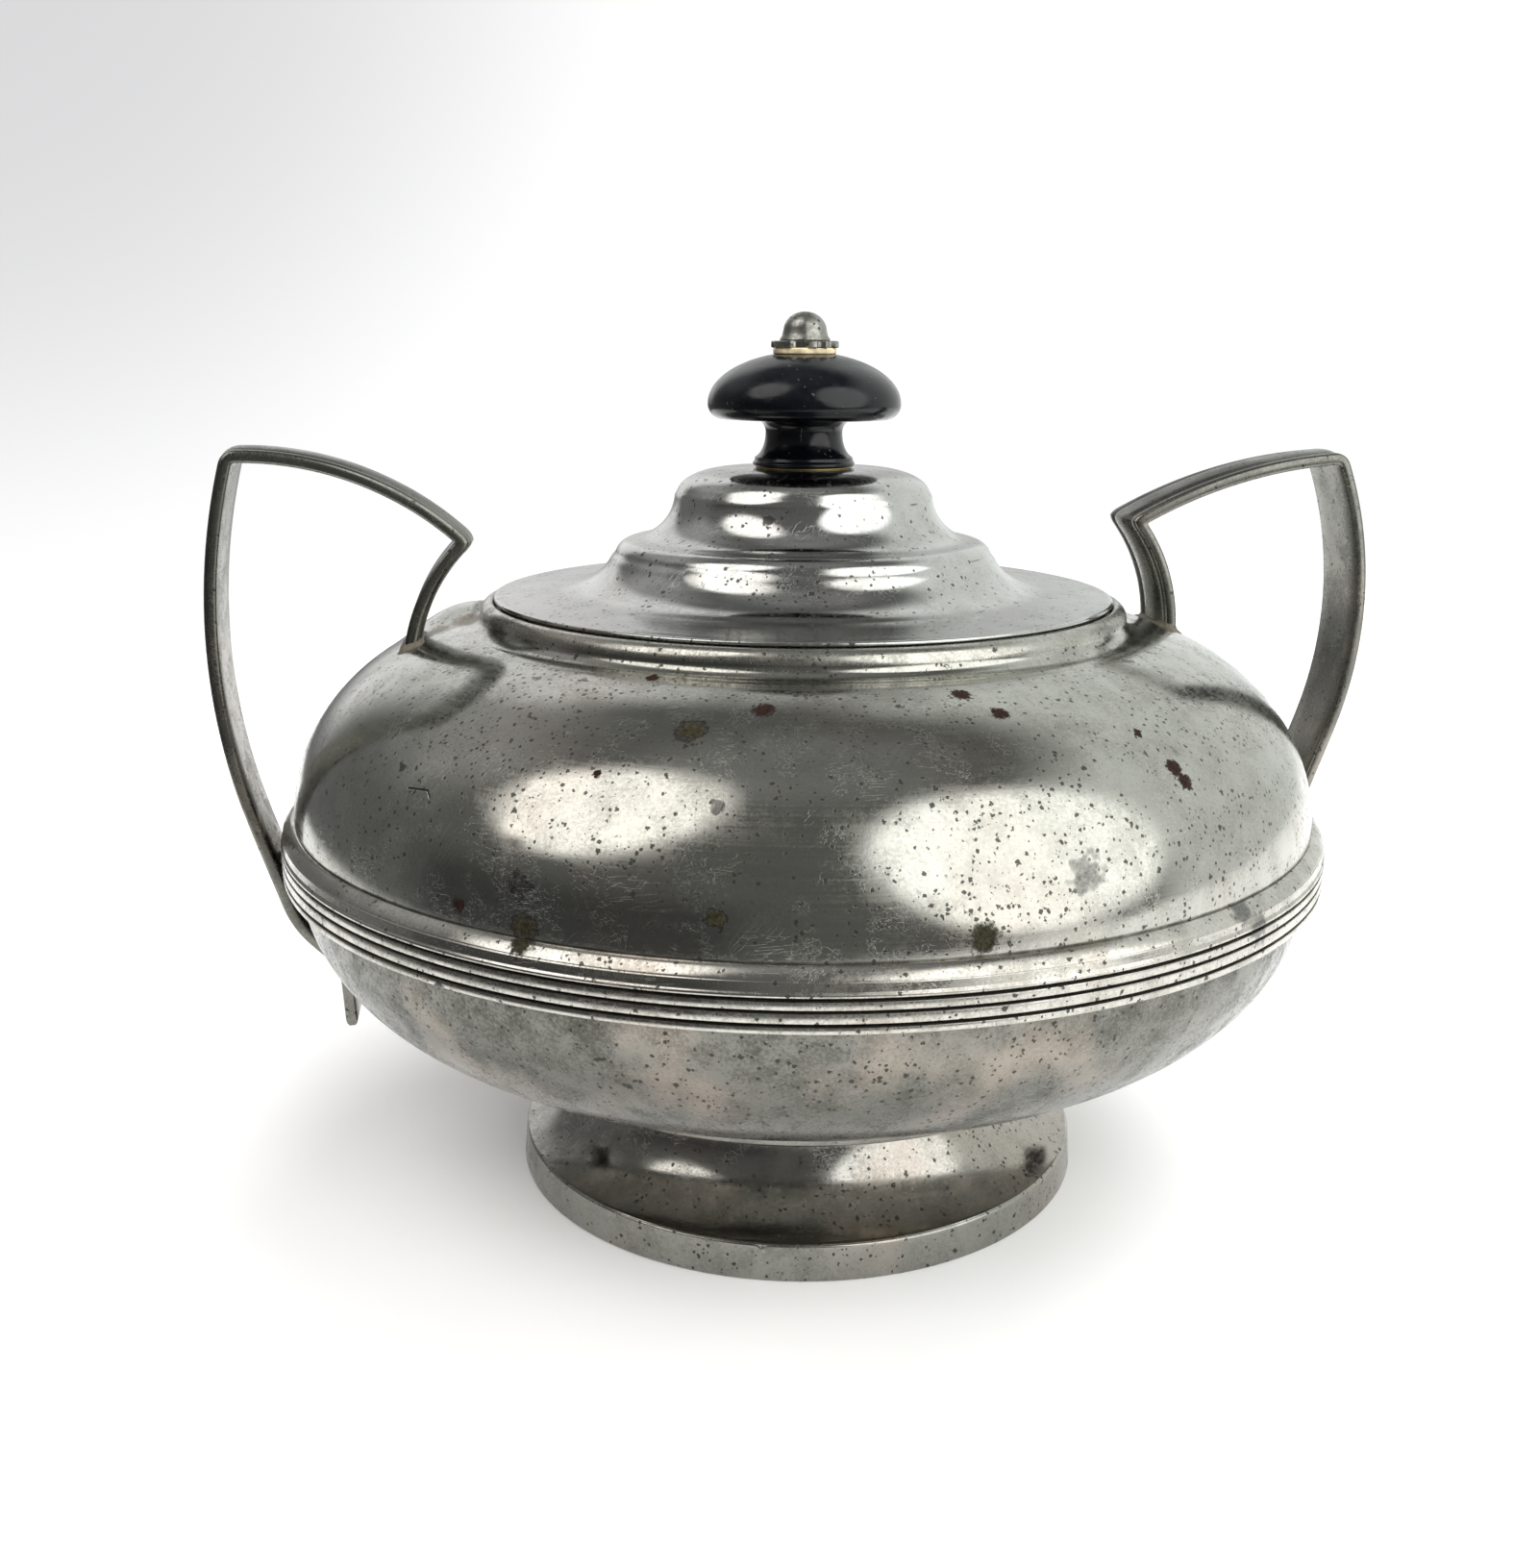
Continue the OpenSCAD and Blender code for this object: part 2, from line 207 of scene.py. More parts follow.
# Walls of the studio: azimuth, elevation, half width, half height, softness (degrees), brightness, tint
WALLS = (
    (0, 80, 200, 10, 8, 0.3, WHITE),               # ceiling overhead
    (-150, -6, 48, 18, 8, 0.08, WHITE),            # dark side of the room, front left
    (150, 2, 34, 22, 8, 0.2, WHITE),               # dark side of the room, back left
    (36, 10, 46, 44, 9, 1.05, (0.97, 1.0, 0.97)),  # pale wall on the right
    (92, 10, 11, 38, 8, 0.7, WHITE),               # backdrop
    (114, 24, 14, 22, 7, 1.1, WHITE),              # pale wall, back left
    (148, 40, 24, 14, 12, 0.5, WHITE),             # its far end
)
# Oval windows, in the same terms
WINDOWS = (
    (-38, 27, 30, 37, 5, 2.5, (1.0, 1.0, 0.98)),    # front right
    (-150, 50, 19, 24, 4, 2.5, (1.0, 0.97, 0.94)),  # front left
)
ROOM = (0.17, 0.17, 0.165)


def make_world():
    world = bpy.data.worlds.new("studio")
    world.use_nodes = True
    scene.world = world
    g = Graph(world.node_tree)
    ray = g.node("ShaderNodeTexCoord").outputs["Generated"]
    elevation = g.math("ARCSINE", g.split(ray)[2])
    light = ROOM + (1,)
    for azimuth, rise, half_w, half_h, soft, power, tint in WALLS:
        ahead, side = aim(azimuth, 0), aim(azimuth + 90, 0)
        across = g.math("ABSOLUTE", g.math("ARCTAN2", g.dot(ray, side[:]), g.dot(ray, ahead[:])))
        up = g.math("ABSOLUTE", g.minus(elevation, math.radians(rise)))
        inside = g.times(g.ramp(across, math.radians(half_w + soft), math.radians(half_w - soft)),
                         g.ramp(up, math.radians(half_h + soft), math.radians(half_h - soft)))
        light = g.mix(inside, light, tuple(power * t for t in tint) + (1,))
    for azimuth, rise, half_w, half_h, soft, power, tint in WINDOWS:
        ahead, side = aim(azimuth, rise), aim(azimuth + 90, 0)
        above = ahead.cross(side)
        depth = g.larger(g.dot(ray, ahead[:]), 0.01)
        reach_x, reach_y = (math.tan(math.radians(half)) for half in (half_w, half_h))
        x = g.math("DIVIDE", g.dot(ray, side[:]), g.times(depth, reach_x))
        y = g.math("DIVIDE", g.dot(ray, above[:]), g.times(depth, reach_y))
        blur = soft / half_w
        inside = g.ramp(g.length(g.join(x, y, 0.0)), 1 + blur, 1 - blur)
        light = g.mix(inside, light, tuple(power * t for t in tint) + (1,))
    # What the camera sees behind the bowl is white, and greyer towards the upper left
    shade = g.ramp(g.dot(ray, aim(119, 16)[:]), 0.9, 1.0)
    seen = g.mix(shade, (1.05, 1.05, 1.05, 1), (0.7, 0.7, 0.71, 1))
    camera_ray = g.node("ShaderNodeLightPath").outputs["Is Camera Ray"]
    shader = g.node("ShaderNodeBackground", {"Color": g.mix(camera_ray, light, seen)})
    g.node("ShaderNodeOutputWorld", {"Surface": shader.outputs[0]})
    world.cycles.sampling_method = "MANUAL"
    world.cycles.sample_map_resolution = 1024


def make_floor():
    """A pale sheet, centred back and to the right of the bowl, that fades out into the pale surroundings."""
    sheet_at, sheet_r = Vector((0.2, 0.2, 0)), 0.52
    fade_from, fade_to = 0.4, 0.49
    bm = bmesh.new()
    bmesh.ops.create_circle(bm, cap_ends=True, segments=96, radius=sheet_r,
                            matrix=Matrix.Translation(sheet_at))
    floor = add_mesh("floor", bm)
    material = bpy.data.materials.new("floor")
    material.use_nodes = True
    g = Graph(material.node_tree)
    place = g.node("ShaderNodeTexCoord").outputs["Object"]
    creases = g.ramp(g.noise(g.vector("SCALE", place, 14.0), 1.0, detail=3.0), 0.35, 0.7)
    paper = g.node("ShaderNodeBsdfPrincipled", {
        "Base Color": g.mix(creases, (0.93, 0.93, 0.925, 1), (0.9, 0.9, 0.9, 1)), "Roughness": 0.9})
    gone = g.ramp(g.length(g.vector("SUBTRACT", place, sheet_at[:])), fade_from, fade_to)
    clear = g.node("ShaderNodeBsdfTransparent")
    shader = g.node("ShaderNodeMixShader", {0: gone, 1: paper.outputs[0], 2: clear.outputs[0]})
    g.node("ShaderNodeOutputMaterial", {"Surface": shader.outputs[0]})
    floor.data.materials.append(material)


def make_soft_lights():
    """Soft light from above and from the front, which the metal doesn't mirror."""
    lights = (("top_light", (0.25, 0.15, 0.7), 4.6), ("fill_light", (-0.1, -0.6, 0.5), 4.2))
    for name, place, power in lights:
        data = bpy.data.lights.new(name, "AREA")
        data.energy = power
        data.shape = "DISK"
        data.size = 0.7
        light = bpy.data.objects.new(name, data)
        scene.collection.objects.link(light)
        light.location = place
        light.rotation_mode = "QUATERNION"
        light.rotation_quaternion = light.location.to_track_quat("Z", "Y")
        light.visible_glossy = False
        light.visible_camera = False


# ---- meshes ---------------------------------------------------------------

def add_mesh(name, bm, sharp=35):
    """A smooth-shaded object whose edges sharper than that many degrees stay crisp."""
    mesh = bpy.data.meshes.new(name)
    bm.normal_update()
    bm.to_mesh(mesh)
    bm.free()
    mesh.shade_smooth()
    mesh.set_sharp_from_angle(angle=math.radians(sharp))
    piece = bpy.data.objects.new(name, mesh)
    scene.collection.objects.link(piece)
    return piece


def add_solid(name, bm, sharp=35):
    """A closed mesh, with its faces turned outwards."""
    bmesh.ops.recalc_face_normals(bm, faces=bm.faces)
    return add_mesh(name, bm, sharp)


def vert(bm, x, y, z):
    return bm.verts.new(Vector((x, y, z)) * MM)


def bridge(bm, one, two):
    """Faces between two closed rings with the same number of points."""
    count = len(one)
    for k in range(count):
        n = (k + 1) % count
        bm.faces.new((one[k], one[n], two[n], two[k]))


def oval(c, rx, rz, start, end, n=24):
    """Points on an oval arc about c, between two angles in degrees."""
    angles = [math.radians(start + (end - start) * i / n) for i in range(n + 1)]
    return [(c[0] + rx * math.cos(a), c[1] + rz * math.sin(a)) for a in angles]


def eased(points, radius, n=3):
    """The outline with each corner replaced by a small curve."""
    least_turn, most_of_side = math.radians(12), 0.45
    out = []
    for p, before, after in zip(points, points[-1:] + points[:-1], points[1:] + points[:1]):
        p, before, after = Vector(p), Vector(before), Vector(after)
        into, away = before - p, after - p
        turn = math.pi - into.angle(away, math.pi)
        if turn < least_turn or p[0] < ON_AXIS:
            out.append(tuple(p))
            continue
        start = p + into.normalized() * min(radius, into.length * most_of_side)
        end = p + away.normalized() * min(radius, away.length * most_of_side)
        for k in range(n + 1):
            t = k / n
            out.append(tuple(start * (1 - t) ** 2 + p * 2 * t * (1 - t) + end * t ** 2))
    return out


def finer(points, step):
    """A closed outline with no stretch longer than step."""
    out = []
    for a, b in zip(points, points[1:] + points[:1]):
        a, b = Vector(a), Vector(b)
        n = max(1, math.ceil((b - a).length / step))
        out += [tuple(a.lerp(b, k / n)) for k in range(n)]
    return out


def lathe(name, outline, segments=288, step=1.0, shape=None):
    """A closed (r, z) outline turned about Z. shape(x, y, z) may move a point, as for a dent."""
    bm = bmesh.new()
    rings = []
    for r, z in finer(outline, step):
        if r < ON_AXIS:
            rings.append([bm.verts.new((0, 0, z * MM))])
            continue
        ring = []
        for k in range(segments):
            a = 2 * math.pi * k / segments
            point = Vector((r * math.cos(a), r * math.sin(a), z))
            ring.append(bm.verts.new((shape(point) if shape else point) * MM))
        rings.append(ring)
    for one, two in zip(rings, rings[1:] + rings[:1]):
        for k in range(segments):
            n = (k + 1) % segments
            corners = (one[k % len(one)], one[n % len(one)], two[n % len(two)], two[k % len(two)])
            corners = list(dict.fromkeys(corners))
            if len(corners) > 2:
                bm.faces.new(corners)
    return add_solid(name, bm)


def dress(piece, body, slot, material, *nodes):
    """Puts the piece on its body with its material, in place of those CAD nodes. The slot is not used."""
    piece.data.materials.append(material)
    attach(piece, body)
    if nodes:
        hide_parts(*nodes)
    return piece


# ---- metal ----------------------------------------------------------------

def segment_distance(g, p, a, b):
    """Distance of p from the straight line between two points."""
    a, b = Vector(a), Vector(b)
    along = b - a
    from_a = g.vector("SUBTRACT", p, a[:])
    t = g.times(g.dot(from_a, along[:]), 1 / along.length_squared)
    t = g.node("ShaderNodeClamp", {"Value": t}).outputs[0]
    return g.length(g.vector("SUBTRACT", from_a, g.vector("SCALE", along[:], t)))


def nearest(g, distances):
    """The smallest of several numbers."""
    least = distances[0]
    for distance in distances[1:]:
        least = g.math("MINIMUM", least, distance)
    return least


def hairlines(g, p, tilts, width, amount):
    """Fine scratches: thin stretched streaks at several tilts, each 0 or up to 1."""
    found = None
    for i, tilt in enumerate(tilts):
        turned = g.node("ShaderNodeMapping", {
            "Vector": p, "Rotation": tuple(math.radians(t) for t in tilt),
            "Location": (17.0 * i, 5.0 * i, 3.0)}).outputs[0]
        streak = g.noise(g.vector("MULTIPLY", turned, (0.09, 1.5, 1.5)), 1.0, detail=2.0)
        line = g.ramp(g.math("ABSOLUTE", g.minus(streak, 0.5)), width, 0.0)
        patch = g.ramp(g.noise(turned, 0.16, detail=1.0), 1 - amount, 1.08 - amount)
        line = g.times(line, patch)
        found = line if found is None else g.larger(found, line)
    return found


def pits(g, p, scale, size, cluster):
    """Small irregular pits, 1 in a pit and 0 outside. cluster says how many cells have one."""
    ragged = g.node("ShaderNodeTexNoise", {"Vector": p, "Scale": scale * 2.2}).outputs["Color"]
    cell = g.cells(g.vector("ADD", p, g.vector("SCALE", ragged, 0.8 / scale)), scale)
    lot = g.split(cell["Color"])
    radius = g.times(g.ramp(g.times(lot[0], lot[0]), 0.0, 1.0, 0.3, 1.0), size)
    pit = g.ramp(g.minus(cell["Distance"], radius), 0.05, -0.03)
    return g.times(pit, g.ramp(g.minus(lot[1], cluster), 0.0, 0.05, 1.0, 0.0))


def blotch(g, p, places, ragged, soft):
    """1 in an uneven blot round each (point, radius) and 0 outside."""
    lobes = g.node("ShaderNodeTexNoise", {"Vector": p, "Scale": 1.2 / ragged, "Detail": 4.0})
    shift = g.vector("SUBTRACT", lobes.outputs["Color"], (0.5, 0.5, 0.5))
    shift = g.vector("SCALE", shift, 3.2 * ragged)
    warped = g.vector("ADD", p, shift)
    near = nearest(g, [g.math("DIVIDE", g.length(g.vector("SUBTRACT", warped, at[:])), size)
                       for at, size in places])
    return g.ramp(near, 1 + soft, 1 - soft)


TILTS = ((8, 5, 20), (-4, 30, 75), (35, -12, 130), (-25, 50, 160))
# Kinds of mark: two colours, how much they cover, roughness, how metallic, depth and raggedness in mm,
# softness of the edge
RUST = ((0.006, 0.0025, 0.0018, 1), (0.022, 0.009, 0.006, 1), 1.0, 0.6, 0.0, 0.006, 0.5, 0.14)
SMUDGE = ((0.08, 0.08, 0.075, 1), (0.17, 0.17, 0.16, 1), 0.7, 0.42, 1.0, 0.0, 1.6, 0.4)
OLIVE = ((0.012, 0.0105, 0.0055, 1), (0.036, 0.032, 0.018, 1), 1.0, 0.5, 0.1, 0.004, 0.8, 0.25)
TAN = ((0.08, 0.06, 0.035, 1), (0.18, 0.15, 0.1, 1), 0.85, 0.5, 0.35, -0.03, 1.0, 0.3)


def pewter(name, tint=(0.43, 0.43, 0.395), rough=(0.085, 0.21), pitted=1.0, mottle=0.5, spun=1.0,
           marks=(), shaded_creases=(), grime_and_shade=None):
    """Old pewter: polished grey metal with spinning lines, tarnish, pits, scratches and corrosion.
    marks are (kind, places), with places as (point, radius). Creases come as pairs of points, each with a
    dark line painted along it as the crease's shade over a shallow groove."""
    material, g, p = new_material(name)
    x, y, z = g.split(p)
    r = g.math("SQRT", g.plus(g.times(x, x), g.times(y, y)))

    # Wide patches, clouds, grain and the lathe's lines, then where the pits crowd together
    broad = g.noise(p, 0.045, detail=3.0, roughness=0.55)
    cloud = g.noise(p, 0.22, detail=5.0, roughness=0.62, distortion=0.4)
    grain = g.noise(p, 2.6, detail=3.0, roughness=0.7)
    spin = g.noise(g.vector("MULTIPLY", p, (0.02, 0.02, 3.2)), 1.0, detail=4.0, roughness=0.75,
                   w=g.times(r, 3.2))
    crowd = g.plus(g.ramp(cloud, 0.38, 0.72, 0.25, 1.0), g.ramp(broad, 0.4, 0.65, -0.1, 0.3))
    crowd = g.times(crowd, pitted)
    fine = pits(g, p, 1.7, 0.42, g.times(crowd, 0.85))
    small = pits(g, p, 0.95, 0.32, g.times(crowd, 0.45))
    large = pits(g, p, 0.34, 0.26, g.times(crowd, 0.07))
    pit = g.larger(fine, g.larger(small, large))
    scratch = hairlines(g, p, TILTS, 0.006, 0.42)

    # Tarnish: a film in clouds, and a browner tone in the wide patches
    film = g.ramp(g.plus(g.times(cloud, 0.55), g.times(grain, 0.45)), 0.38, 0.64)
    tarnish = g.times(film, mottle)
    deep = tuple(t * 0.5 for t in tint[:2]) + (tint[2] * 0.47,)
    color = g.mix(tarnish, tint + (1,), deep + (1,))
    warm = g.times(g.ramp(broad, 0.48, 0.66), 0.55 * mottle)
    color = g.mix(warm, color, (0.44, 0.375, 0.32, 1))
    roughness = g.plus(g.ramp(film, 0.0, 1.0, rough[0], rough[1]),
                       g.ramp(spin, 0.3, 0.7, -0.02 * spun, 0.05 * spun))
    height = g.plus(g.times(spin, 0.003 * spun), g.times(cloud, 0.012))
    height = g.plus(height, g.times(grain, 0.0025))

    color = g.mix(g.times(pit, 0.92), color, (0.03, 0.028, 0.024, 1))
    color = g.mix(g.times(scratch, 0.2), color, (0.62, 0.62, 0.58, 1))
    roughness = g.plus(roughness, g.times(pit, 0.05))
    roughness = g.plus(roughness, g.times(scratch, 0.05))
    height = g.minus(height, g.times(pit, 0.003))
    height = g.minus(height, g.times(scratch, 0.004))
    metal = g.minus(1.0, g.times(pit, 0.3))
    gloss = 0.5

    # Painted shade: a dark line along each crease, over a shallow groove
    if shaded_creases:
        cut = nearest(g, [segment_distance(g, p, a, b) for a, b in shaded_creases])
        cut = g.ramp(g.plus(cut, g.times(grain, 0.12)), 0.24, 0.1)
        color = g.mix(g.times(cut, 0.9), color, (0.02, 0.02, 0.018, 1))
        height = g.minus(height, g.times(cut, 0.06))
    # A mark's colour fades in before its dull surface does, so that it has no pale edge
    for (dark, pale, cover, dull, shine, depth, ragged_by, soft), places in marks:
        mark = g.times(blotch(g, p, places, ragged_by, soft), cover)
        late = g.math("POWER", mark, 4.0)
        color = g.mix(g.math("POWER", mark, 0.4), color, g.mix(g.ramp(grain, 0.35, 0.65), dark, pale))
        roughness = g.blend(late, roughness, dull)
        metal = g.blend(late, metal, shine)
        gloss = g.blend(late, gloss, 0.12)
        height = g.minus(height, g.times(mark, depth))
    # Dirt and painted shade: darker, rougher bands where the shell meets the girdle and in the girdle's
    # grooves
    if grime_and_shade:
        dirt_and_shade = g.times(grime_and_shade(g, z), g.ramp(cloud, 0.25, 0.6, 0.55, 1.0))
        color = g.mix(g.times(dirt_and_shade, 0.85), color, (0.05, 0.045, 0.035, 1))
        roughness = g.plus(roughness, g.times(dirt_and_shade, 0.3))

    finish_surface(g, color, roughness, height, Metallic=metal, Specular_IOR_Level=gloss)
    return material


def bands(*places):
    """Dirt and painted shade in narrow bands of height: each is (z, half width)."""
    def grime_and_shade(g, z):
        found = None
        for at, half in places:
            band = g.ramp(g.math("ABSOLUTE", g.minus(z, at)), half, half * 0.3)
            found = band if found is None else g.larger(found, band)
        return found
    return grime_and_shade


# ---- other materials ------------------------------------------------------

def plain(name, color, roughness, metallic=0.0, bump=0.01):
    """A simple material whose colour, gloss and surface vary a little."""
    material, g, p = new_material(name)
    vary, scale = 0.25, 0.6
    cloud = g.noise(p, scale, detail=4.0, roughness=0.6)
    darker = tuple(c * (1 - vary) for c in color) + (1,)
    lighter = tuple(min(1.0, c * (1 + vary)) for c in color) + (1,)
    height = g.times(g.noise(p, scale * 5, detail=3.0), bump)
    finish_surface(g, g.mix(g.ramp(cloud, 0.35, 0.65), darker, lighter),
                   g.ramp(cloud, 0.3, 0.7, roughness * 0.8, roughness * 1.25), height, Metallic=metallic)
    return material


def ebony(crack):
    """Polished black with turning lines, fine dust, faint scratches and one hairline crack."""
    material, g, p = new_material("ebony")
    lines = g.noise(g.vector("MULTIPLY", p, (0.05, 0.05, 5.0)), 1.0, detail=3.0)
    dust = pits(g, p, 1.3, 0.18, 0.35)
    scratch = hairlines(g, p, TILTS[:2], 0.005, 0.4)
    wobble = g.times(g.noise(p, 1.2, detail=3.0), 0.5)
    split = g.ramp(g.plus(segment_distance(g, p, *crack), wobble), 0.36, 0.28)
    tone = g.ramp(g.noise(p, 0.5, detail=3.0), 0.3, 0.7)
    color = g.mix(tone, (0.0008, 0.0014, 0.0024, 1), (0.002, 0.003, 0.0045, 1))
    color = g.mix(g.times(dust, 0.5), color, (0.12, 0.115, 0.10, 1))
    color = g.mix(g.times(split, 0.8), color, (0.10, 0.095, 0.08, 1))
    roughness = g.plus(g.ramp(g.noise(p, 0.9, detail=4.0), 0.3, 0.7, 0.12, 0.24),
                       g.times(g.larger(dust, scratch), 0.25))
    height = g.plus(g.times(lines, 0.004), g.times(scratch, -0.004))
    finish_surface(g, color, roughness, height, IOR=1.4)
    return material


# ---- bowl -----------------------------------------------------------------

WALL = 1.3
LIFT_FADE = 1.5  # the shoulder's lift fades out over this width next to the mouth rim
GIRDLE_Z, GIRDLE_TOP, GIRDLE_R = span("reeded_girdle")
SEAM_Z = high("lower_bowl")[2]
SHELL_R = high("upper_bowl")[0]
# Both shells as ovals: the centre as (r, z), half width and half height
BELLY = ((SHELL_R - 26.5, GIRDLE_Z + 0.4), 26.5, GIRDLE_Z + 0.4 - low("lower_bowl")[2])
SHOULDER = ((SHELL_R - 28.5, GIRDLE_TOP), 28.5, 24.3)
NECK_Z = high("upper_bowl")[2]
RIM_LOW, RIM_HIGH = NECK_Z, high("mouth_rim")[2]
RIM_R = (RIM_HIGH - RIM_LOW) / 2
MOUTH_R = high("mouth_rim")[0] - 2 * RIM_R
NECK_R = MOUTH_R + WALL
COVE_W, COVE_H = 2.0, 1.2  # the hollow curve between the shoulder and the neck, on the inside
NECK_TURN = math.degrees(math.acos((NECK_R + COVE_W - SHOULDER[0][0]) / SHOULDER[1]))
COVE = (NECK_R + COVE_W, SHOULDER[0][1] + SHOULDER[2] * math.sin(math.radians(NECK_TURN)) + COVE_H)


def shoulder_r(z):
    """The upper bowl's radius at that height."""
    (cr, cz), rx, rz = SHOULDER
    return cr + rx * math.sqrt(max(0.0, 1 - (max(z - cz, 0) / rz) ** 2))


def shoulder_z(r):
    """The upper bowl's height at that radius."""
    (cr, cz), rx, rz = SHOULDER
    return cz + rz * math.sqrt(max(0.0, 1 - ((r - cr) / rx) ** 2))


def belly_r(z):
    """The lower bowl's radius at that height."""
    (cr, cz), rx, rz = BELLY
    return cr + rx * math.sqrt(max(0.0, 1 - (max(cz - z, 0) / rz) ** 2))


def around(azimuth, r, z):
    """The point at that radius and height, at an azimuth from the camera's right."""
    a = math.radians(azimuth) - HANDLE_TURN
    return Vector((r * math.cos(a), r * math.sin(a), z))


def on_shoulder(azimuth, z, out=0.0):
    return around(azimuth, shoulder_r(z) + out, z)


def on_belly(azimuth, z):
    return around(azimuth, belly_r(z), z)


def dented(dents, lifts=()):
    """Pushes points inwards near each dent, (place, radius, depth), and up near each lift, (place, radius,
    rise), outside the mouth."""
    rim_r = MOUTH_R + 2 * RIM_R

    def shape(point):
        for place, radius, depth in dents:
            near = (point - place).length / radius
            if near < 1:
                push = depth * (1 - near * near) ** 2
                point = point - Vector((place[0], place[1], 0)).normalized() * push
        for place, radius, rise in lifts:
            near = (point - place).length / radius
            if near < 1:
                clear = min(1.0, max(0.0, (math.hypot(point[0], point[1]) - rim_r) / LIFT_FADE))
                point = point + Vector((0, 0, rise * clear * (1 - near * near) ** 2))
        return point
    return shape


def make_upper_bowl(metal):
    hollow, hollow_w, clear = (NECK_R + 3.0, NECK_Z), 2.5, 0.12  # the cove between the shoulder and the rim
    outer = [p for p in [(SHELL_R, SEAM_Z)] + oval(*SHOULDER, 0, NECK_TURN, 72) if p[0] > hollow[0]]
    outer += oval(hollow, hollow_w, NECK_Z - outer[-1][1] - clear, 262, 180, 16)
    outer += [(NECK_R + 0.5, NECK_Z + 0.2)]
    inner = [(MOUTH_R, NECK_Z)] + oval(COVE, COVE_W + WALL, COVE_H + WALL, 180, 262, 8)
    inner += oval(SHOULDER[0], SHOULDER[1] - WALL, SHOULDER[2] - WALL, NECK_TURN, 0, 40)
    inner += [(SHELL_R - WALL, SEAM_Z)]
    places = ((-115.4, 68.1, 2.2, 0.06), (-116.4, 65, 1.8, 0.06), (-117.1, 62.7, 1.5, 0.05),
              (-128.5, 65.8, 3, 0.06), (-60, 60, 7, 0.06), (-88, 70, 9, 0.06), (20, 64, 8, 0.08),
              (95, 62, 9, 0.1), (160, 68, 7, 0.08))
    dents = [(on_shoulder(azimuth, z), radius, depth) for azimuth, z, radius, depth in places]
    pulled = ((on_shoulder(176, 77), 10, 1.7),)  # where the left handle has drawn the shoulder up
    dress(lathe("upper_bowl_skin", outer + inner, 512, 0.9, dented(dents, pulled)), "bowl", "pewter_shell",
          metal, "upper_bowl")


def make_lower_bowl(metal):
    floor_z = low("lower_bowl")[2]
    outer = [(0, floor_z)] + oval(*BELLY, -90, 0, 64) + [(SHELL_R, SEAM_Z)]
    inner = [(SHELL_R - WALL, SEAM_Z)] + oval(BELLY[0], BELLY[1] - WALL, BELLY[2] - WALL, 0, -90, 40)
    inner += [(0, floor_z + WALL)]
    dents = ((on_belly(-75, 36), 7, 0.08), (on_belly(-130, 34), 9, 0.08), (on_belly(60, 36), 8, 0.08))
    dress(lathe("lower_bowl_skin", outer + inner, 512, 0.9, dented(dents)), "bowl", "pewter_shell",
          metal, "lower_bowl")


def make_mouth_rim(metal):
    """A rounded bead with a crisp inner edge."""
    roll_w, roll_h, ease = 2 * RIM_R - 0.35, RIM_HIGH - RIM_LOW - 0.2, 0.35
    roll = [(MOUTH_R, RIM_LOW)] + oval((MOUTH_R + ease, RIM_HIGH - ease), ease, ease, 180, 92, 8)
    roll += oval((MOUTH_R + ease, RIM_LOW + 0.2), roll_w, roll_h, 88, 0, 24)
    roll += [(MOUTH_R + 2 * RIM_R - 0.3, RIM_LOW)]
    dress(lathe("mouth_rim_skin", roll, 384, 0.8), "bowl", "pewter_ring", metal, "mouth_rim")


def make_lid_seat(metal):
    """The ledge inside the mouth, with its leg down the neck."""
    seat_low, seat_z = span("lid_seat_ring")[:2]
    ledge_in, ledge_out, thick = 38.3, MOUTH_R - 0.9, 1.2
    seat = [(ledge_in, seat_z - thick), (ledge_in, seat_z), (ledge_out, seat_z), (ledge_out, NECK_Z + 0.7),
            (MOUTH_R, NECK_Z + 0.7), (MOUTH_R, seat_low), (MOUTH_R - WALL, seat_low),
            (MOUTH_R - WALL, NECK_Z - 0.1), (ledge_out - 1, seat_z - thick)]
    dress(lathe("lid_seat_skin", eased(seat, 0.2), 256), "bowl", "pewter_inner", metal, "lid_seat_ring")


# The girdle's grooves: height above its lower edge and half width
GROOVES = ((1.12, 0.19), (2.58, 0.17), (3.86, 0.2))


def make_girdle(metal):
    """Three reeds between deep grooves, then a broad strip with a thin lip and a slope up to the bowl."""
    depth, slope = 0.75, 0.07
    foot = ((-0.5, 0), (-0.12, 0.12), (0, 0.35))
    strip = ((0, 4.4), (-0.22, 4.62), (-0.3, 5.6), (-0.42, 5.68), (-0.45, 5.8), (-0.8, 6.25), (-1.35, 6.75))
    face = [(SHELL_R - 0.3, GIRDLE_Z)] + [(GIRDLE_R + r, GIRDLE_Z + z) for r, z in foot]
    for above, half in GROOVES:
        z = GIRDLE_Z + above
        face += [(GIRDLE_R, z - half), (GIRDLE_R - depth, z - half + slope),
                 (GIRDLE_R - depth, z + half - slope), (GIRDLE_R, z + half)]
    face += [(GIRDLE_R + r, GIRDLE_Z + z) for r, z in strip]
    face += [(SHELL_R + 0.12, GIRDLE_TOP - 0.02), (SHELL_R - 0.3, GIRDLE_TOP)]
    dress(lathe("reeded_girdle_skin", eased(face, 0.1, 2), 512, 1.2), "bowl", "pewter_ring",
          metal, "reeded_girdle")


# ---- foot -----------------------------------------------------------------

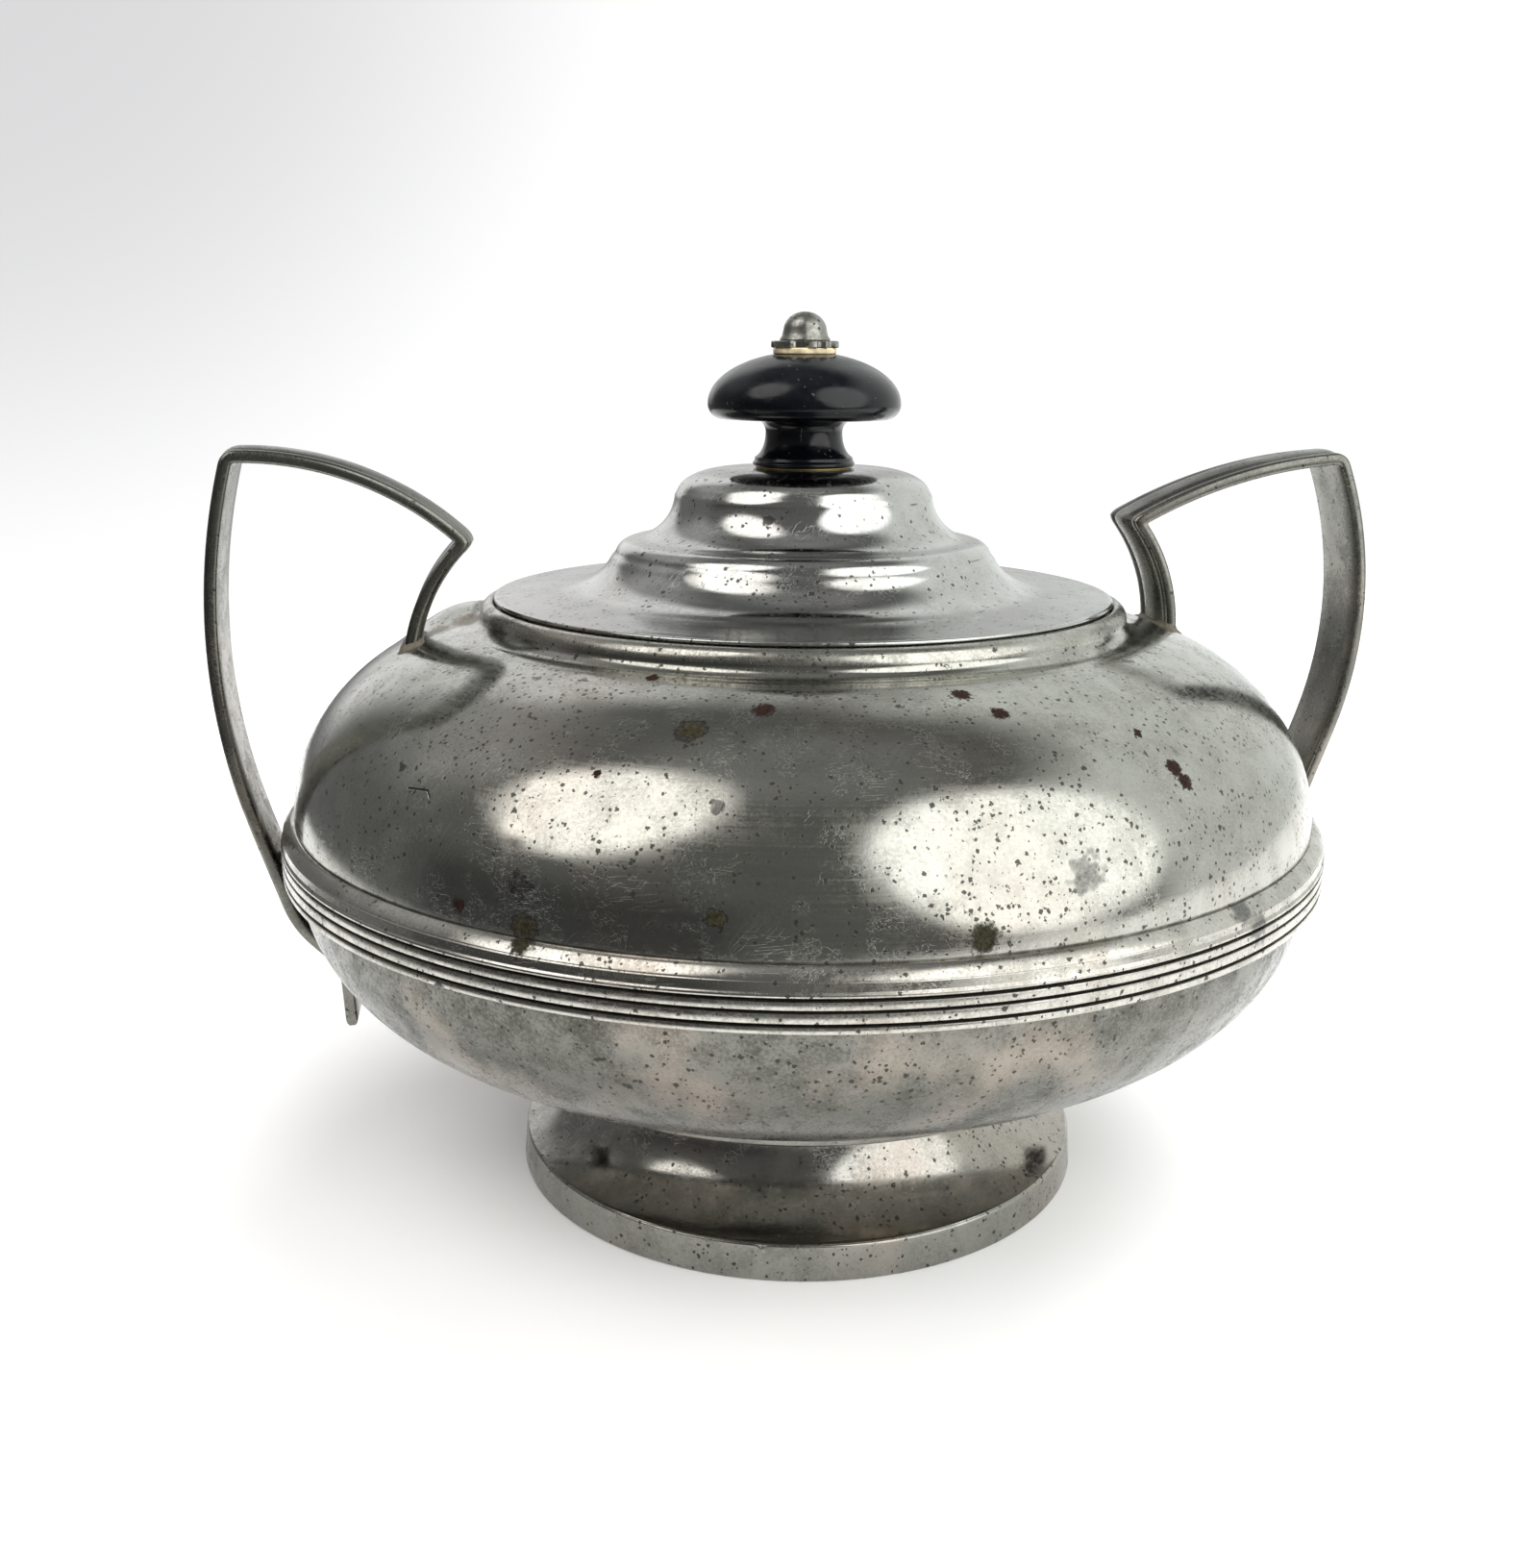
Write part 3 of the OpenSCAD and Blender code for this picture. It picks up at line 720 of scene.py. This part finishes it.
def make_foot(metal, metal_edge):
    """The collar under the belly, the scooped shell below it and the flat strip round the edge."""
    collar_z, _, collar_r = span("foot_collar")
    _, rim_top, foot_r = span("foot_rim")
    edge_r, belly_z = high("foot_shell")[0], low("lower_bowl")[2]
    neck_r = 30.8
    inner = neck_r - WALL
    collar = [(inner, collar_z), (collar_r - 0.5, collar_z), (collar_r, collar_z + 0.8),
              (collar_r, belly_z + 0.25), (collar_r - WALL, belly_z + 0.1),
              (collar_r - WALL, collar_z + WALL), (inner, collar_z + WALL)]
    dress(lathe("foot_collar_skin", eased(collar, 0.5, 4), 384), "bowl", "pewter_shell", metal,
          "foot_collar")

    scoop, turn = 12.8, 70
    drop = math.sin(math.radians(turn))
    mid = (neck_r + scoop, rim_top + scoop * drop)
    outside = oval(mid, scoop, scoop, 180, 180 + turn, 40)
    inside = oval(mid, scoop + WALL, scoop + WALL, 180, 180 + turn, 40)
    end_z, ease = outside[-1][1], 0.15
    shell = [(inner, collar_z), (neck_r, collar_z)] + outside
    shell += [(edge_r - ease, end_z), (edge_r, end_z - ease), (edge_r, inside[-1][1])] + inside[::-1]
    dress(lathe("foot_shell_skin", shell, 384), "bowl", "pewter_shell", metal, "foot_shell")

    under = rim_top - WALL * drop
    strip = [(foot_r - WALL, 0), (foot_r - 0.25, 0), (foot_r, 0.3), (edge_r + 0.12, rim_top - 0.25),
             (edge_r - 0.15, rim_top), (edge_r, under), (foot_r - WALL, under)]
    nick_at = ((math.radians(-96) - HANDLE_TURN, 1.1), (0.9, 1.4), (2.6, 1.2))
    nicks = [(Vector((foot_r * math.cos(a), foot_r * math.sin(a), rim_top)), size, 0.35)
             for a, size in nick_at]
    dress(lathe("foot_rim_skin", eased(strip, 0.15), 512, 0.8, dented(nicks)), "bowl", "pewter_ring",
          metal_edge, "foot_rim")


# ---- handles --------------------------------------------------------------

# Each side's arcs of the riser, the top and the grip as (centre x, centre z, radius of the outer face), then
# the slope at which the grip leaves its arc and the straight run after it. The two were bent by hand.
FORMS = {"left": ((29, 71.4, 22.9), (72, 60.8, 39.7), (-5.1, 76, 82.8), -17.5, 10.8),
         "right": ((27.2, 75.3, 23.3), (78.2, 32.1, 67.7), (26.6, 77.6, 53.2), -19, 21.8)}
# Lower down, both grips turn in under the girdle and end in a short tail: slopes, radii and lengths
TURN_IN, TURN_IN_R, TURN_IN_STRAIGHT = -44, 14, 3.6
TAIL_TURN, TAIL_R, TAIL_L = -3, 4, 6.8
STRAP_T, STRAP_HALF, CROWN = 1.5, 5.0, 0.48  # thickness, half width, rise of the strap's middle


def crossing(p, q):
    """Where two circles (x, z, r) cross, on the side the handle uses."""
    d = Vector((q[0] - p[0], q[1] - p[1]))
    u = d.normalized()
    along = (d.length_squared + p[2] ** 2 - q[2] ** 2) / (2 * d.length)
    off = math.sqrt(p[2] ** 2 - along ** 2)
    return (p[0] + u[0] * along - u[1] * off, p[1] + u[1] * along + u[0] * off)


def angle_on(p, point):
    """The direction of the point from the circle's centre, in degrees."""
    return math.degrees(math.atan2(point[1] - p[1], point[0] - p[0]))


def grown(p, t):
    """The circle with its radius larger by t."""
    return (p[0], p[1], p[2] + t)


def polar(r, angle):
    return Vector((r * math.cos(math.radians(angle)), r * math.sin(math.radians(angle))))


def worn_corner(points, n, one, two):
    """Rounds the end of a line at the corner between two of a handle's arcs, more on its outer side."""
    sharp, inner = (Vector(crossing(grown(one[0], one[1] * t), grown(two[0], two[1] * t)))
                    for t in (CROWN, -STRAP_T))
    inward = (inner - sharp).normalized()
    reach = 0.35 + 0.9 * (n + STRAP_T)
    wear = 0.29 * reach
    corner = Vector(points[0])
    out = []
    for p in points:
        near = max(0.0, 1 - (Vector(p) - corner).length / reach)
        out.append(tuple(Vector(p) + inward * (wear * near * near)))
    return out


def run(c, radius, start, end, fine_start=False, fine_end=False):
    """An arc with closer points where it meets a corner."""
    count, reach, close = 24, 2.6, 9
    step = math.degrees(reach / radius) * (1 if end > start else -1)
    first = [start + step * k / close for k in range(close)] if fine_start else [start]
    last = [end - step * k / close for k in range(close - 1, -1, -1)] if fine_end else [end]
    from_a = start + step if fine_start else start + (end - start) / count
    to_a = end - step if fine_end else end - (end - start) / count
    middle = [from_a + (to_a - from_a) * k / count for k in range(count)]
    return [tuple(Vector(c) + polar(radius, a)) for a in first + middle + last]


def riser_line(form, y, n):
    """From inside the bowl's shoulder up to the inner corner, n out from the riser's face."""
    out = grown(form[0], -n)
    start, sunk, step = -8.0, 0.35, 0.1

    def is_inside(angle):
        x, z = Vector(out[:2]) + polar(out[2], angle)
        return math.hypot(x, y) < shoulder_r(z) - sunk
    while is_inside(start):
        start += step
    corner = angle_on(out, crossing(out, grown(form[1], n)))
    points = run(out[:2], out[2], start, corner, fine_end=True)
    return worn_corner(points[::-1], n, (form[0], -1), (form[1], 1))[::-1]


def top_line(form, y, n):
    """From the inner corner to the outer one."""
    out = grown(form[1], n)
    inner, outer = crossing(grown(form[0], -n), out), crossing(grown(form[2], n), out)
    points = run(out[:2], out[2], angle_on(out, inner), angle_on(out, outer), True, True)
    points = worn_corner(points, n, (form[0], -1), (form[1], 1))
    return worn_corner(points[::-1], n, (form[2], 1), (form[1], 1))[::-1]


def grip_line(form, y, n):
    """From the outer corner down past the girdle to the rounded end of the tail."""
    grip, slope, straight = form[2], form[3], form[4]
    c1 = Vector(grip[:2])
    c2 = c1 + polar(straight, slope - 90) + polar(grip[2] - TURN_IN_R, slope)
    c3 = c2 + polar(TURN_IN_STRAIGHT, TURN_IN - 90) + polar(TURN_IN_R + TAIL_R, TURN_IN)
    out = grown(grip, n)
    points = run(c1, out[2], angle_on(out, crossing(out, grown(form[1], n))), slope, True)
    points = worn_corner(points, n, (form[2], 1), (form[1], 1))
    points += oval(c2, TURN_IN_R + n, TURN_IN_R + n, slope, TURN_IN, 10)
    points += oval(c3, TAIL_R - n, TAIL_R - n, 180 + TURN_IN, 180 + TAIL_TURN, 8)
    middle = n + STRAP_T / 2
    round_off = STRAP_T / 2 - math.sqrt(max(0.0, (STRAP_T / 2) ** 2 - min(abs(middle), STRAP_T / 2) ** 2))
    end = c3 - polar(TAIL_R - n, TAIL_TURN)
    for k in range(1, 5):
        points.append(tuple(end + polar((TAIL_L - round_off) * k / 4, TAIL_TURN - 90)))
    return points


def strap_section():
    """Half of the strap's section as (across, out): a raised middle, a trough and a rounded edge."""
    return [(0, CROWN), (1.0, 0.45), (1.9, 0.33), (2.5, 0.14), (2.85, -0.06), (3.1, -0.1), (3.35, -0.04),
            (3.7, 0.1), (4.2, 0.14), (4.6, 0.08), (4.88, -0.1), (STRAP_HALF, -0.4), (STRAP_HALF, -1.15),
            (4.9, -1.4), (4.65, -STRAP_T), (2.4, -STRAP_T)]


def make_strap(node, line, form, side, metal):
    half = strap_section()
    section = half + [(0, -STRAP_T)] + [(-y, n) for y, n in reversed(half[1:])]
    bm = bmesh.new()
    rows = [[vert(bm, side * x, y, z) for x, z in line(form, y, n)] for y, n in section]
    for one, two in zip(rows, rows[1:] + rows[:1]):
        for k in range(len(one) - 1):
            bm.faces.new((one[k], one[k + 1], two[k + 1], two[k]))
    bm.faces.new([row[0] for row in rows])
    bm.faces.new([row[-1] for row in reversed(rows)])
    dress(add_solid(node + "_skin", bm, 50), "bowl", "pewter_strap", metal, node)


def make_handles(metal, solder):
    for word, side in (("left", -1), ("right", 1)):
        form = FORMS[word]
        for part, line in (("riser", riser_line), ("top", top_line), ("grip", grip_line)):
            make_strap(f"{word}_handle_{part}", line, form, side, metal)
        make_lower_solder(word, form, side, solder)
        make_riser_solder(word, form, side, solder)


def rounded_box(angle, power):
    """The point of a unit square with round corners in that direction. A smaller power is squarer."""
    c, s = math.cos(angle), math.sin(angle)
    return (math.copysign(abs(c) ** power, c), math.copysign(abs(s) ** power, s))


def make_lower_solder(word, form, side, solder):
    """Soft solder that fills the wedge between the strap, the belly and the girdle's lower edge."""
    node = f"{word}_handle_solder"
    low_z, high_z = span(node)[:2]
    half, waisted, uneven, sunk = 4.2, 1.2, 0.15, 0.4
    rows, across = 14, 12
    strap = [Vector(p) for p in grip_line(form, 0, -STRAP_T + 0.15)]

    def strap_x(z):
        for a, b in zip(strap, strap[1:]):
            if b[1] <= z <= a[1]:
                return a.lerp(b, (a[1] - z) / (a[1] - b[1]))[0]
        return strap[-1][0]
    bm = bmesh.new()
    grid = []
    rough = random.Random(word)
    for i in range(rows + 1):
        z = low_z + (high_z - low_z) * i / rows
        waist = half - waisted * math.sin(math.pi * i / rows) + rough.uniform(-uneven, uneven)
        row = []
        for k in range(across):
            box = rounded_box(2 * math.pi * k / across, 0.6)
            y = waist * box[0]
            inner_x = math.sqrt(max(belly_r(z) ** 2 - y * y, 0)) - sunk
            row.append(vert(bm, side * (inner_x + (strap_x(z) - inner_x) * (0.5 + 0.5 * box[1])), y, z))
        grid.append(row)
    for one, two in zip(grid, grid[1:]):
        bridge(bm, one, two)
    bm.faces.new(grid[0])
    bm.faces.new(grid[-1][::-1])
    dress(add_solid(node + "_skin", bm, 60), "bowl", "solder", solder, node)


def make_riser_solder(word, form, side, solder):
    """A thin uneven fillet of solder round the foot of the riser."""
    steps, half_t, sunk = 48, 0.85, 0.4
    profile = ((-0.3, 0.9), (0.05, 0.75), (0.3, 0.3), (0.75, 0.08), (1.2, -0.25))  # (spread, rise)
    foot_x = riser_line(form, 0, -STRAP_T / 2)[0][0]
    rough = random.Random(word + "root")
    wander = [rough.uniform(0.7, 1.3) for _ in range(steps)]
    bm = bmesh.new()
    loops = [[] for _ in profile]
    for k in range(steps):
        width = 0.5 * (wander[k] + wander[k - 1])
        box = rounded_box(2 * math.pi * k / steps, 0.35)
        for loop, (spread, rise) in zip(loops, profile):
            x = foot_x + box[0] * (half_t + spread * width)
            y = box[1] * (STRAP_HALF + spread * width)
            loop.append(vert(bm, side * x, y, shoulder_z(math.hypot(x, y)) + rise * width))
    base = []
    for x, y, z in [point.co / MM for point in loops[0]]:
        base.append(vert(bm, x, y, shoulder_z(math.hypot(x, y)) - sunk))
    loops.append(base)
    for one, two in zip(loops, loops[1:] + loops[:1]):
        bridge(bm, one, two)
    dress(add_solid(f"{word}_riser_solder_skin", bm, 60), "bowl", "solder", solder)


# ---- lid ------------------------------------------------------------------

LID_Z, LID_TOP, LID_R = span("lid_shell")
LID_SHEET = 1.2
STUD_HOLE = 1.65


def lid_line(t):
    """The lid's curves from the flat top out to the flange, t under the outer surface."""
    def curve(r, z, rx, rz, start, end, n):
        return oval((r, LID_Z + z), rx + t, rz + t, start, end, n)

    def dome(r, z, rx, rz, start, end, n):
        return oval((r, LID_Z + z), rx - t, rz - t, start, end, n)
    return (dome(9.5, 13.7, 7.4, 3.4, 90, 12, 20) + curve(23.8, 14.1, 6.6, 6.4, 185, 262, 24)
            + dome(22.9, 5.5, 2.4, 2.2, 80, 15, 12) + curve(34, 7.5, 8.7, 6.3, 200, 265, 24))


def make_lid(metal, metal_inner):
    edge = 0.3
    outline = [(STUD_HOLE, LID_TOP)] + lid_line(0) + [(LID_R - 1.4, LID_Z + 0.64)]
    outline += oval((LID_R - edge, LID_Z + edge), edge, edge, 85, -90, 10) + [(35.6, LID_Z)]
    outline += lid_line(LID_SHEET)[::-1] + [(7, LID_TOP - LID_SHEET), (STUD_HOLE, LID_TOP - LID_SHEET)]
    dents = ((around(-60, 34, 84), 6, 0.05), (around(-130, 30, 84), 5, 0.06), (around(120, 33, 84), 7, 0.08))
    dress(lathe("lid_skin", outline, 384, 0.8, dented(dents)), "lid", "pewter_lid", metal, "lid_shell")

    bezel_r, bezel_z, thick = high("lid_bezel")[0], low("lid_bezel")[2], 1.3
    ring = [(bezel_r - thick, LID_Z), (bezel_r, LID_Z), (bezel_r, bezel_z), (bezel_r - thick, bezel_z)]
    dress(lathe("lid_bezel_skin", eased(ring, 0.3), 256), "lid", "pewter_inner", metal_inner, "lid_bezel")


# ---- finial ---------------------------------------------------------------

def make_finial(black, cream, nut, brass):
    make_washer("finial_base_washer", "brass", brass, 0.12, 128, 1, ragged(0.12, 5))
    make_knob(black)
    make_washer("finial_top_washer", "bone", cream, 0.25, 128, 0.5, ragged(0.1, 7))
    make_collar(nut)
    make_cap_nut(nut)
    dress(threaded("finial_stud_skin", *span("finial_stud")), "stud", "brass", brass, "finial_stud")
    make_washer("finial_lock_washer", "brass", brass, 0.15, 96, 1, None)
    dress(hexagon("finial_lock_nut_skin", *span("finial_lock_nut")), "lid", "brass", brass,
          "finial_lock_nut")


def make_washer(node, slot, material, ease, segments, step, shape):
    z0, z1, radius = span(node)
    outline = eased([(STUD_HOLE, z0), (radius, z0), (radius, z1), (STUD_HOLE, z1)], ease)
    dress(lathe(node + "_skin", outline, segments, step, shape), "lid", slot, material, node)


def make_knob(black):
    """A waisted foot, a hollow neck and a wide crown."""
    foot_z, top_z, knob_r = span("finial_knob")
    waist_r, foot_r = 5.1, 6.6
    waist, under, widest, crown = foot_z + 4.4, foot_z + 6.1, foot_z + 8.05, 6.7
    knob = [(STUD_HOLE, foot_z), (foot_r, foot_z)]
    knob += oval((6.45, foot_z + 0.35), 0.35, 0.35, -60, 60, 6)
    knob += oval((waist_r + 2, waist), 2, 3.4, 252, 180, 14)
    knob += oval((waist_r + 1.6, waist), 1.6, under - waist, 172, 95, 12)
    knob += oval((knob_r - 2, widest), 2, widest - under, -90, 0, 16)
    knob += oval((0, widest), knob_r, crown, 5, 71, 32) + [(STUD_HOLE, top_z)]
    dress(lathe("finial_knob_skin", knob, 256, 0.7), "lid", "ebonised", black, "finial_knob")


def make_cap_nut(metal):
    """A bell on a thin flange, with a blind hole for the stud."""
    z0, z1, cap_r = span("finial_cap_nut")
    bell_r, bell_h = 2.85, 2.4
    hole_top = high("finial_stud")[2] + 0.3
    cap = [(STUD_HOLE, z0), (cap_r - 0.12, z0), (cap_r, z0 + 0.12), (cap_r - 0.06, z0 + 0.3),
           (cap_r - 0.3, z0 + 0.6)]
    cap += oval((0, z1 - bell_h), bell_r, bell_h, 4, 90, 24) + [(0, hole_top), (STUD_HOLE, hole_top)]
    dress(lathe("finial_cap_nut_skin", cap, 128, 0.5, ragged(0.05, 3)), "lid", "pewter_nut",
          metal, "finial_cap_nut")


def ragged(amount, seed):
    """Uneven, hand-cut edges: points move in towards the axis by up to amount, more further out."""
    rough = random.Random(seed)
    waves = [(rough.randint(2, 17), rough.uniform(0, 6.28), rough.uniform(0.4, 1)) for _ in range(5)]
    total = sum(w[2] for w in waves)

    def shape(point):
        a = math.atan2(point[1], point[0])
        wave = sum(h * (0.5 + 0.5 * math.sin(n * a + at)) for n, at, h in waves) / total
        r = math.hypot(point[0], point[1])
        if r < STUD_HOLE + 0.5:
            return point
        k = 1 - amount * wave / r
        return Vector((point[0] * k, point[1] * k, point[2]))
    return shape


def make_collar(metal):
    """The thin pewter washer under the cap nut, cut and chipped round its edge."""
    z0, z1, r = span("finial_collar")
    # Chips: azimuth and half width in degrees, depth
    chips = ((-100, 16, 0.9), (-35, 10, 0.7), (-62, 7, 0.45), (40, 14, 0.8), (120, 20, 0.6), (-165, 9, 0.6))
    rag = ragged(0.25, 11)

    def shape(point):
        point = rag(point)
        azimuth = math.degrees(math.atan2(point[1], point[0]) + HANDLE_TURN)
        radius = math.hypot(point[0], point[1])
        for at, half, depth in chips:
            off = abs((azimuth - at + 180) % 360 - 180) / half
            if off < 1 and radius > r - 1.2:
                k = 1 - depth * (1 - off ** 4) / radius
                point = Vector((point[0] * k, point[1] * k, point[2]))
        return point
    outline = [(STUD_HOLE, z0), (r - 0.2, z0), (r, z0 + 0.12), (r - 0.02, z1 - 0.12), (r - 0.2, z1),
               (3.6, z1 - 0.12), (STUD_HOLE, z1 - 0.1)]
    dress(lathe("finial_collar_skin", outline, 192, 0.4, shape), "lid", "pewter_nut", metal, "finial_collar")


def threaded(name, z0, z1, radius):
    """A stud with a fine thread: a closed rod whose radius follows a helix."""
    pitch, depth, segments = 0.5, 0.28, 36
    steps = int((z1 - z0) / pitch * 6)
    bm = bmesh.new()
    rings = []
    for i in range(steps + 1):
        z = z0 + (z1 - z0) * i / steps
        ring = []
        for k in range(segments):
            a = 2 * math.pi * k / segments
            phase = (z / pitch - k / segments) % 1
            r = radius - depth * abs(2 * phase - 1)
            ring.append(vert(bm, r * math.cos(a), r * math.sin(a), z))
        rings.append(ring)
    for one, two in zip(rings, rings[1:]):
        bridge(bm, one, two)
    bm.faces.new(rings[0][::-1])
    bm.faces.new(rings[-1])
    return add_mesh(name, bm, 60)


def hexagon(name, z0, z1, radius):
    """A hexagonal nut with a round hole and eased corners."""
    bm = bmesh.new()
    count, ease, cut = 72, 0.25, 0.3
    angles = [2 * math.pi * k / count for k in range(count)]

    def hex_r(a):
        flat = radius * math.cos(math.pi / 6)
        return min(flat / math.cos((a % (math.pi / 3)) - math.pi / 6), radius - 0.08)

    def loop(z, radii):
        return [vert(bm, r * math.cos(a), r * math.sin(a), z) for r, a in zip(radii, angles)]
    loops = [loop(z, [min(hex_r(a), radius - less) for a in angles])
             for z, less in ((z0, cut), (z0 + ease, 0.0), (z1 - ease, 0.0), (z1, cut))]
    loops += [loop(z, [STUD_HOLE] * count) for z in (z1, z0)]
    for one, two in zip(loops, loops[1:] + loops[:1]):
        bridge(bm, one, two)
    return add_solid(name, bm, 25)


# ---- the object -----------------------------------------------------------

def marks_at(*places):
    """Marks on the upper bowl, each given as (azimuth, height, radius) and perhaps a distance outwards."""
    return [(on_shoulder(azimuth, z, *out), radius) for azimuth, z, radius, *out in places]


def upper_pewter():
    rust = marks_at((-111.3, 77.4, 0.8), (-94.4, 75.8, 1.2), (-69.1, 76.6, 1.1), (-66.2, 75.1, 1.0),
                    (-50.3, 72.2, 0.6), (-48.7, 68.8, 1.1), (-48.2, 67.4, 1.0), (-121.9, 55.8, 0.8),
                    (-110.3, 70.1, 0.5), (25, 68, 1.2), (80, 73, 1.3), (140, 64, 0.9))
    olive = marks_at((-102, 74.1, 1.5), (-114.6, 54.8, 1.4), (-97, 58, 1.0), (-74, 55.6, 1.5),
                     (150, 70, 1.6))
    smudges = marks_at((-63.8, 60.7, 1.8), (-115.5, 59, 1.2), (60, 62, 2))
    stain = marks_at((-171, 76.4, 2.8), (-173, 77.6, 3.0), (-176, 78.7, 3.2))  # at the left riser's root
    # A hook-shaped crease, shaded with a painted dark line
    hook = [on_shoulder(azimuth, z) for azimuth, z in ((-132.2, 65.8), (-129.3, 66.1), (-128.6, 65.5))]
    return pewter("pewter_upper", marks=((SMUDGE, smudges), (TAN, stain), (OLIVE, olive), (RUST, rust)),
                  shaded_creases=[hook[:2], hook[1:]], grime_and_shade=bands((GIRDLE_TOP, 0.4)))


def girdle_pewter():
    smudges = marks_at((-44.9, 53.6, 1.8, 1), (-42.8, 50.7, 1.5, 1.9))
    olive = marks_at((-114.6, 53.2, 1.2, 0.8))
    # Its tint is lighter than the shell's, as painted light on the reeds
    return pewter("pewter_girdle", tint=(0.54, 0.53, 0.49), rough=(0.12, 0.3), pitted=0.7, mottle=0.7,
                  marks=((SMUDGE, smudges), (OLIVE, olive)),
                  grime_and_shade=bands(*((GIRDLE_Z + z, 0.32) for z, _ in GROOVES)))


# The plainer metals: tint, least and most roughness, pits, mottling, turning lines. The lower bowl, the
# straps and the foot rim have darker tints than the same pewter elsewhere, as painted shade
METALS = {
    # darker tint: painted shade
    "lower": ((0.18, 0.18, 0.163), (0.15, 0.4), 0.8, 0.9, 1.0),
    "ring": ((0.47, 0.465, 0.425), (0.14, 0.34), 0.6, 0.6, 1.0),
    "foot": ((0.36, 0.355, 0.33), (0.085, 0.21), 0.6, 0.7, 1.0),
    # darker tint: painted shade
    "foot_rim": ((0.31, 0.31, 0.285), (0.12, 0.3), 0.6, 0.6, 1.0),
    "lid": ((0.52, 0.525, 0.51), (0.06, 0.17), 0.6, 0.45, 1.0),
    # darker tint: painted shade
    "strap": ((0.19, 0.19, 0.172), (0.2, 0.36), 0.4, 0.5, 0.0),
    "inner": ((0.3, 0.3, 0.28), (0.35, 0.6), 0.3, 0.5, 0.6),
    "nut": ((0.31, 0.31, 0.285), (0.25, 0.5), 0.5, 0.5, 0.0),
}


def main():
    make_camera()
    make_world()
    make_floor()
    make_soft_lights()
    metal = {name: pewter("pewter_" + name, *look) for name, look in METALS.items()}
    # Solder, coloured dark: the darkness is also painted shade for the wedge under the girdle where the
    # lower pads sit
    solder = plain("solder", (0.16, 0.145, 0.11), 0.5, metallic=0.6, bump=0.12)
    brass = plain("brass", (0.5, 0.38, 0.17), 0.4, metallic=0.9, bump=0.03)
    cream = plain("bone", (0.66, 0.56, 0.36), 0.5, bump=0.03)
    black = ebony((around(-95, 5.1, 100), around(-93, 5.2, 104)))
    make_upper_bowl(upper_pewter())
    make_lower_bowl(metal["lower"])
    make_girdle(girdle_pewter())
    make_mouth_rim(metal["ring"])
    make_lid_seat(metal["inner"])
    make_foot(metal["foot"], metal["foot_rim"])
    make_handles(metal["strap"], solder)
    make_lid(metal["lid"], metal["inner"])
    make_finial(black, cream, metal["nut"], brass)


main()
scene.view_settings.view_transform = "Standard"
